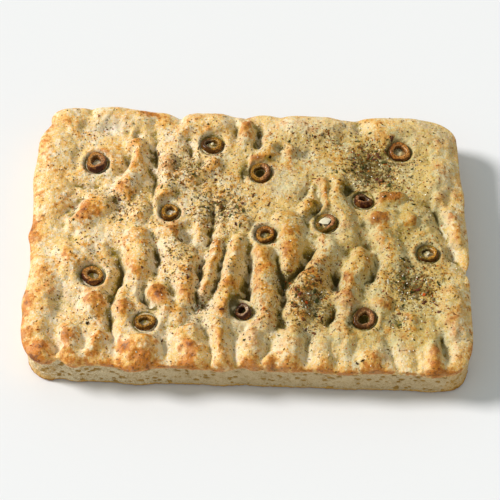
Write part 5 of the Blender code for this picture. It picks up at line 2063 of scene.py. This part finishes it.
@dataclass(frozen=True)
class CrumbFinish(Finish):
    """Open crumb and its baked parts: pale grey-beige, ochre in the pores, brown along the base.

    The side is paler towards its left end: painted light.
    """

    # Floury is the paler crumb of the left end: painted light
    floury: tuple = (0.9, 0.74, 0.47)
    crumb: Layer = Layer((0.72, 0.55, 0.31), -0.135, -0.01)
    warm: Layer = Layer((0.56, 0.39, 0.185), 0.35, 0.8)
    pore: Layer = Layer((0.5, 0.285, 0.07), 0.08, 0.7)
    baked: Layer = Layer((0.72, 0.4, 0.095), 0.1, 0.75)
    dark: Layer = Layer((0.44, 0.2, 0.036), 0.7, 1.2)
    mottle_scale: float = 110.0
    roughness: tuple = (0.3, 0.7, 0.78, 0.95)
    specular: float = 0.2
    bump: Bump = Bump(1300.0, 0.0007, coarse=600.0, weight=1.6)

    def make(self) -> Material:
        """Build the crumb's material.

        Returns:
            The material.
        """
        material, recipe, place = self._open("open_crumb")
        mottle = recipe.group(self.mottle, place, self.mottle_scale)
        blotches, specks = mottle["Blotches"], mottle["Specks"]
        across = recipe.add("ShaderNodeSeparateXYZ", {"Vector": place}).outputs["X"]
        # Paler towards the left end: painted light
        colour = recipe.laid(self.floury, self.crumb, across)
        tint = recipe.varied(blotches, (specks, 1.5), (mottle["Clouds"], 1.0))
        colour = recipe.laid(colour, self.warm, tint)
        colour = recipe.laid(colour, self.pore, recipe.attribute("pore"))
        level = recipe.varied(recipe.attribute("brown"), (blotches, 0.7), (specks, 0.9))
        colour = recipe.laid(colour, self.baked, level)
        colour = recipe.laid(colour, self.dark, level)
        normal = self._bumped(recipe, place, self.bump)
        rough = recipe.spread(blotches, *self.roughness)
        self._shade(recipe, colour, rough, {"Specular IOR Level": self.specular, "Normal": normal})
        return material


@dataclass(frozen=True)
class OliveFinish(Finish):
    """Wet olive flesh: its own stored colours with fine streaks, and a glossy, oily surface."""

    mottle_scale: float = 260.0
    light: Layer = Layer(OLIVE_COLOURS["tan"], 0.5, 0.62, 0.0, 0.4)
    dark: Layer = Layer(OLIVE_COLOURS["chestnut"], 0.46, 0.58, 0.0, 0.78)
    roughness: tuple = (0.3, 0.7, 0.08, 0.26)
    specular: float = 0.17
    bump: Bump = Bump(700.0, 0.0003, 0.35)

    def make(self) -> Material:
        """Build the olive's material.

        Returns:
            The material.
        """
        material, recipe, place = self._open("wet_olive")
        mottle = recipe.group(self.mottle, place, self.mottle_scale)
        colour = recipe.laid(recipe.attribute("flesh", "Color"), self.light, mottle["Clouds"])
        colour = recipe.laid(colour, self.dark, mottle["Blotches"])
        rough = recipe.spread(mottle["Blotches"], *self.roughness)
        normal = self._bumped(recipe, place, self.bump)
        self._shade(recipe, colour, rough, {"Specular IOR Level": self.specular, "Normal": normal})
        return material


@dataclass(frozen=True)
class DryFinish(Finish):
    """Dried herbs, pepper and chilli: each bit's own stored colour, matt and a little uneven."""

    straw: Layer = Layer((0.3, 0.17, 0.04), 0.45, 0.75, 0.0, 0.25)
    mottle_scale: float = 500.0
    roughness: tuple = (0.3, 0.7, 0.65, 0.9)
    specular: float = 0.03

    def make(self) -> Material:
        """Build the material of the dry toppings.

        Returns:
            The material.
        """
        material, recipe, place = self._open("dry_bits")
        mottle = recipe.group(self.mottle, place, self.mottle_scale)
        colour = recipe.laid(recipe.attribute("tone", "Color"), self.straw, mottle["Blotches"])
        rough = recipe.spread(mottle["Clouds"], *self.roughness)
        self._shade(recipe, colour, rough, {"Specular IOR Level": self.specular})
        return material


@dataclass(frozen=True)
class Studio:
    """Camera at the photograph's angle, a soft key from the left, pale surroundings and a floor."""

    shift: Shift
    aim: tuple = (0.0011, 0.0046)
    azimuth: float = 1.86
    elevation: float = 57.0
    distance: float = 1.147
    lens: float = 118.6
    sensor: float = 36.0
    key_from: tuple = (-0.8, 0.16, 0.62)
    key_strength: float = 3.35
    key_spread: float = 15.0
    key_colour: tuple = (1.0, 0.98, 0.965)
    sky: tuple = (0.94, 1.0, 0.97)
    sky_strength: float = 0.44
    floor: tuple = (0.86, 0.86, 0.87)
    floor_roughness: float = 0.6
    floor_half: float = 3.0

    def camera(self) -> None:
        """Aim the camera at the loaf's middle from the photograph's direction."""
        azimuth, elevation = math.radians(self.azimuth), math.radians(self.elevation)
        flat = math.cos(elevation)
        back = Vector((math.sin(azimuth) * flat, -math.cos(azimuth) * flat, math.sin(elevation)))
        right = Vector((math.cos(azimuth), math.sin(azimuth), 0.0))
        target = Vector((self.aim[0] + self.shift[0], self.aim[1] + self.shift[1], 0.0))
        data = bpy.data.cameras.new("camera")
        data.lens = self.lens
        data.sensor_width = self.sensor
        eye = linked("camera", data)
        turn = Matrix((right, back.cross(right), back)).transposed().to_4x4()
        eye.matrix_world = Matrix.Translation(target + self.distance * back) @ turn
        bpy.context.scene.camera = eye

    def lights(self) -> None:
        """Light the scene: one broad key from the left and an even pale sky."""
        data = bpy.data.lights.new("key", "SUN")
        data.energy = self.key_strength
        data.angle = math.radians(self.key_spread)
        data.color = self.key_colour
        key = linked("key", data)
        key.rotation_euler = Vector(self.key_from).to_track_quat("Z", "Y").to_euler()
        world = bpy.data.worlds.new("sky")
        world.use_nodes = True
        inputs = {"Color": (*self.sky, 1.0), "Strength": self.sky_strength}
        Recipe(world.node_tree).fill(world.node_tree.nodes["Background"], inputs)
        bpy.context.scene.world = world
        bpy.context.scene.view_settings.view_transform = "Standard"

    def ground(self) -> None:
        """Lay the pale floor."""
        half = self.floor_half
        corners = [(-half, -half, 0.0), (half, -half, 0.0), (half, half, 0.0), (-half, half, 0.0)]
        mesh = bpy.data.meshes.new("floor")
        mesh.from_pydata(corners, [], [(0, 1, 2, 3)])
        material = bpy.data.materials.new("pale_floor")
        material.use_nodes = True
        inputs = {"Base Color": (*self.floor, 1.0), "Roughness": self.floor_roughness}
        Recipe(material.node_tree).fill(material.node_tree.nodes["Principled BSDF"], inputs)
        mesh.materials.append(material)
        linked("floor", mesh)


def main() -> None:
    """Build the pieces in order."""
    logging.basicConfig(level=logging.INFO, format="%(message)s")
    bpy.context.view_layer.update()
    shift = loaf_shift()
    log.info("plan shift %.5f %.5f", *shift)
    studio = Studio(shift)
    studio.camera()
    studio.lights()
    studio.ground()
    shared = (mottle_group(), grain_group())
    relief = Relief()
    loaf = Loaf(relief, shift)
    dress(loaf.build_crust(), CrustFinish(*shared).make(), "crust", "focaccia")
    dress(loaf.build_crumb(), CrumbFinish(*shared).make(), "crumb", "focaccia")
    wet = OliveFinish(*shared).make()
    for number, piece in enumerate(OliveSlices(relief, shift).build(), start=1):
        dress(piece, wet, "olive", f"olive_ring_{number:02d}")
    dry = DryFinish(*shared).make()
    scatter = Scatter(relief, shift)
    for kind in TOPPINGS:
        dress(scatter.build(kind), dry, kind.slot)
    dress(scatter.build_bits(), dry, "herbs")
    bpy.context.view_layer.update()


if __name__ == "__main__":
    main()
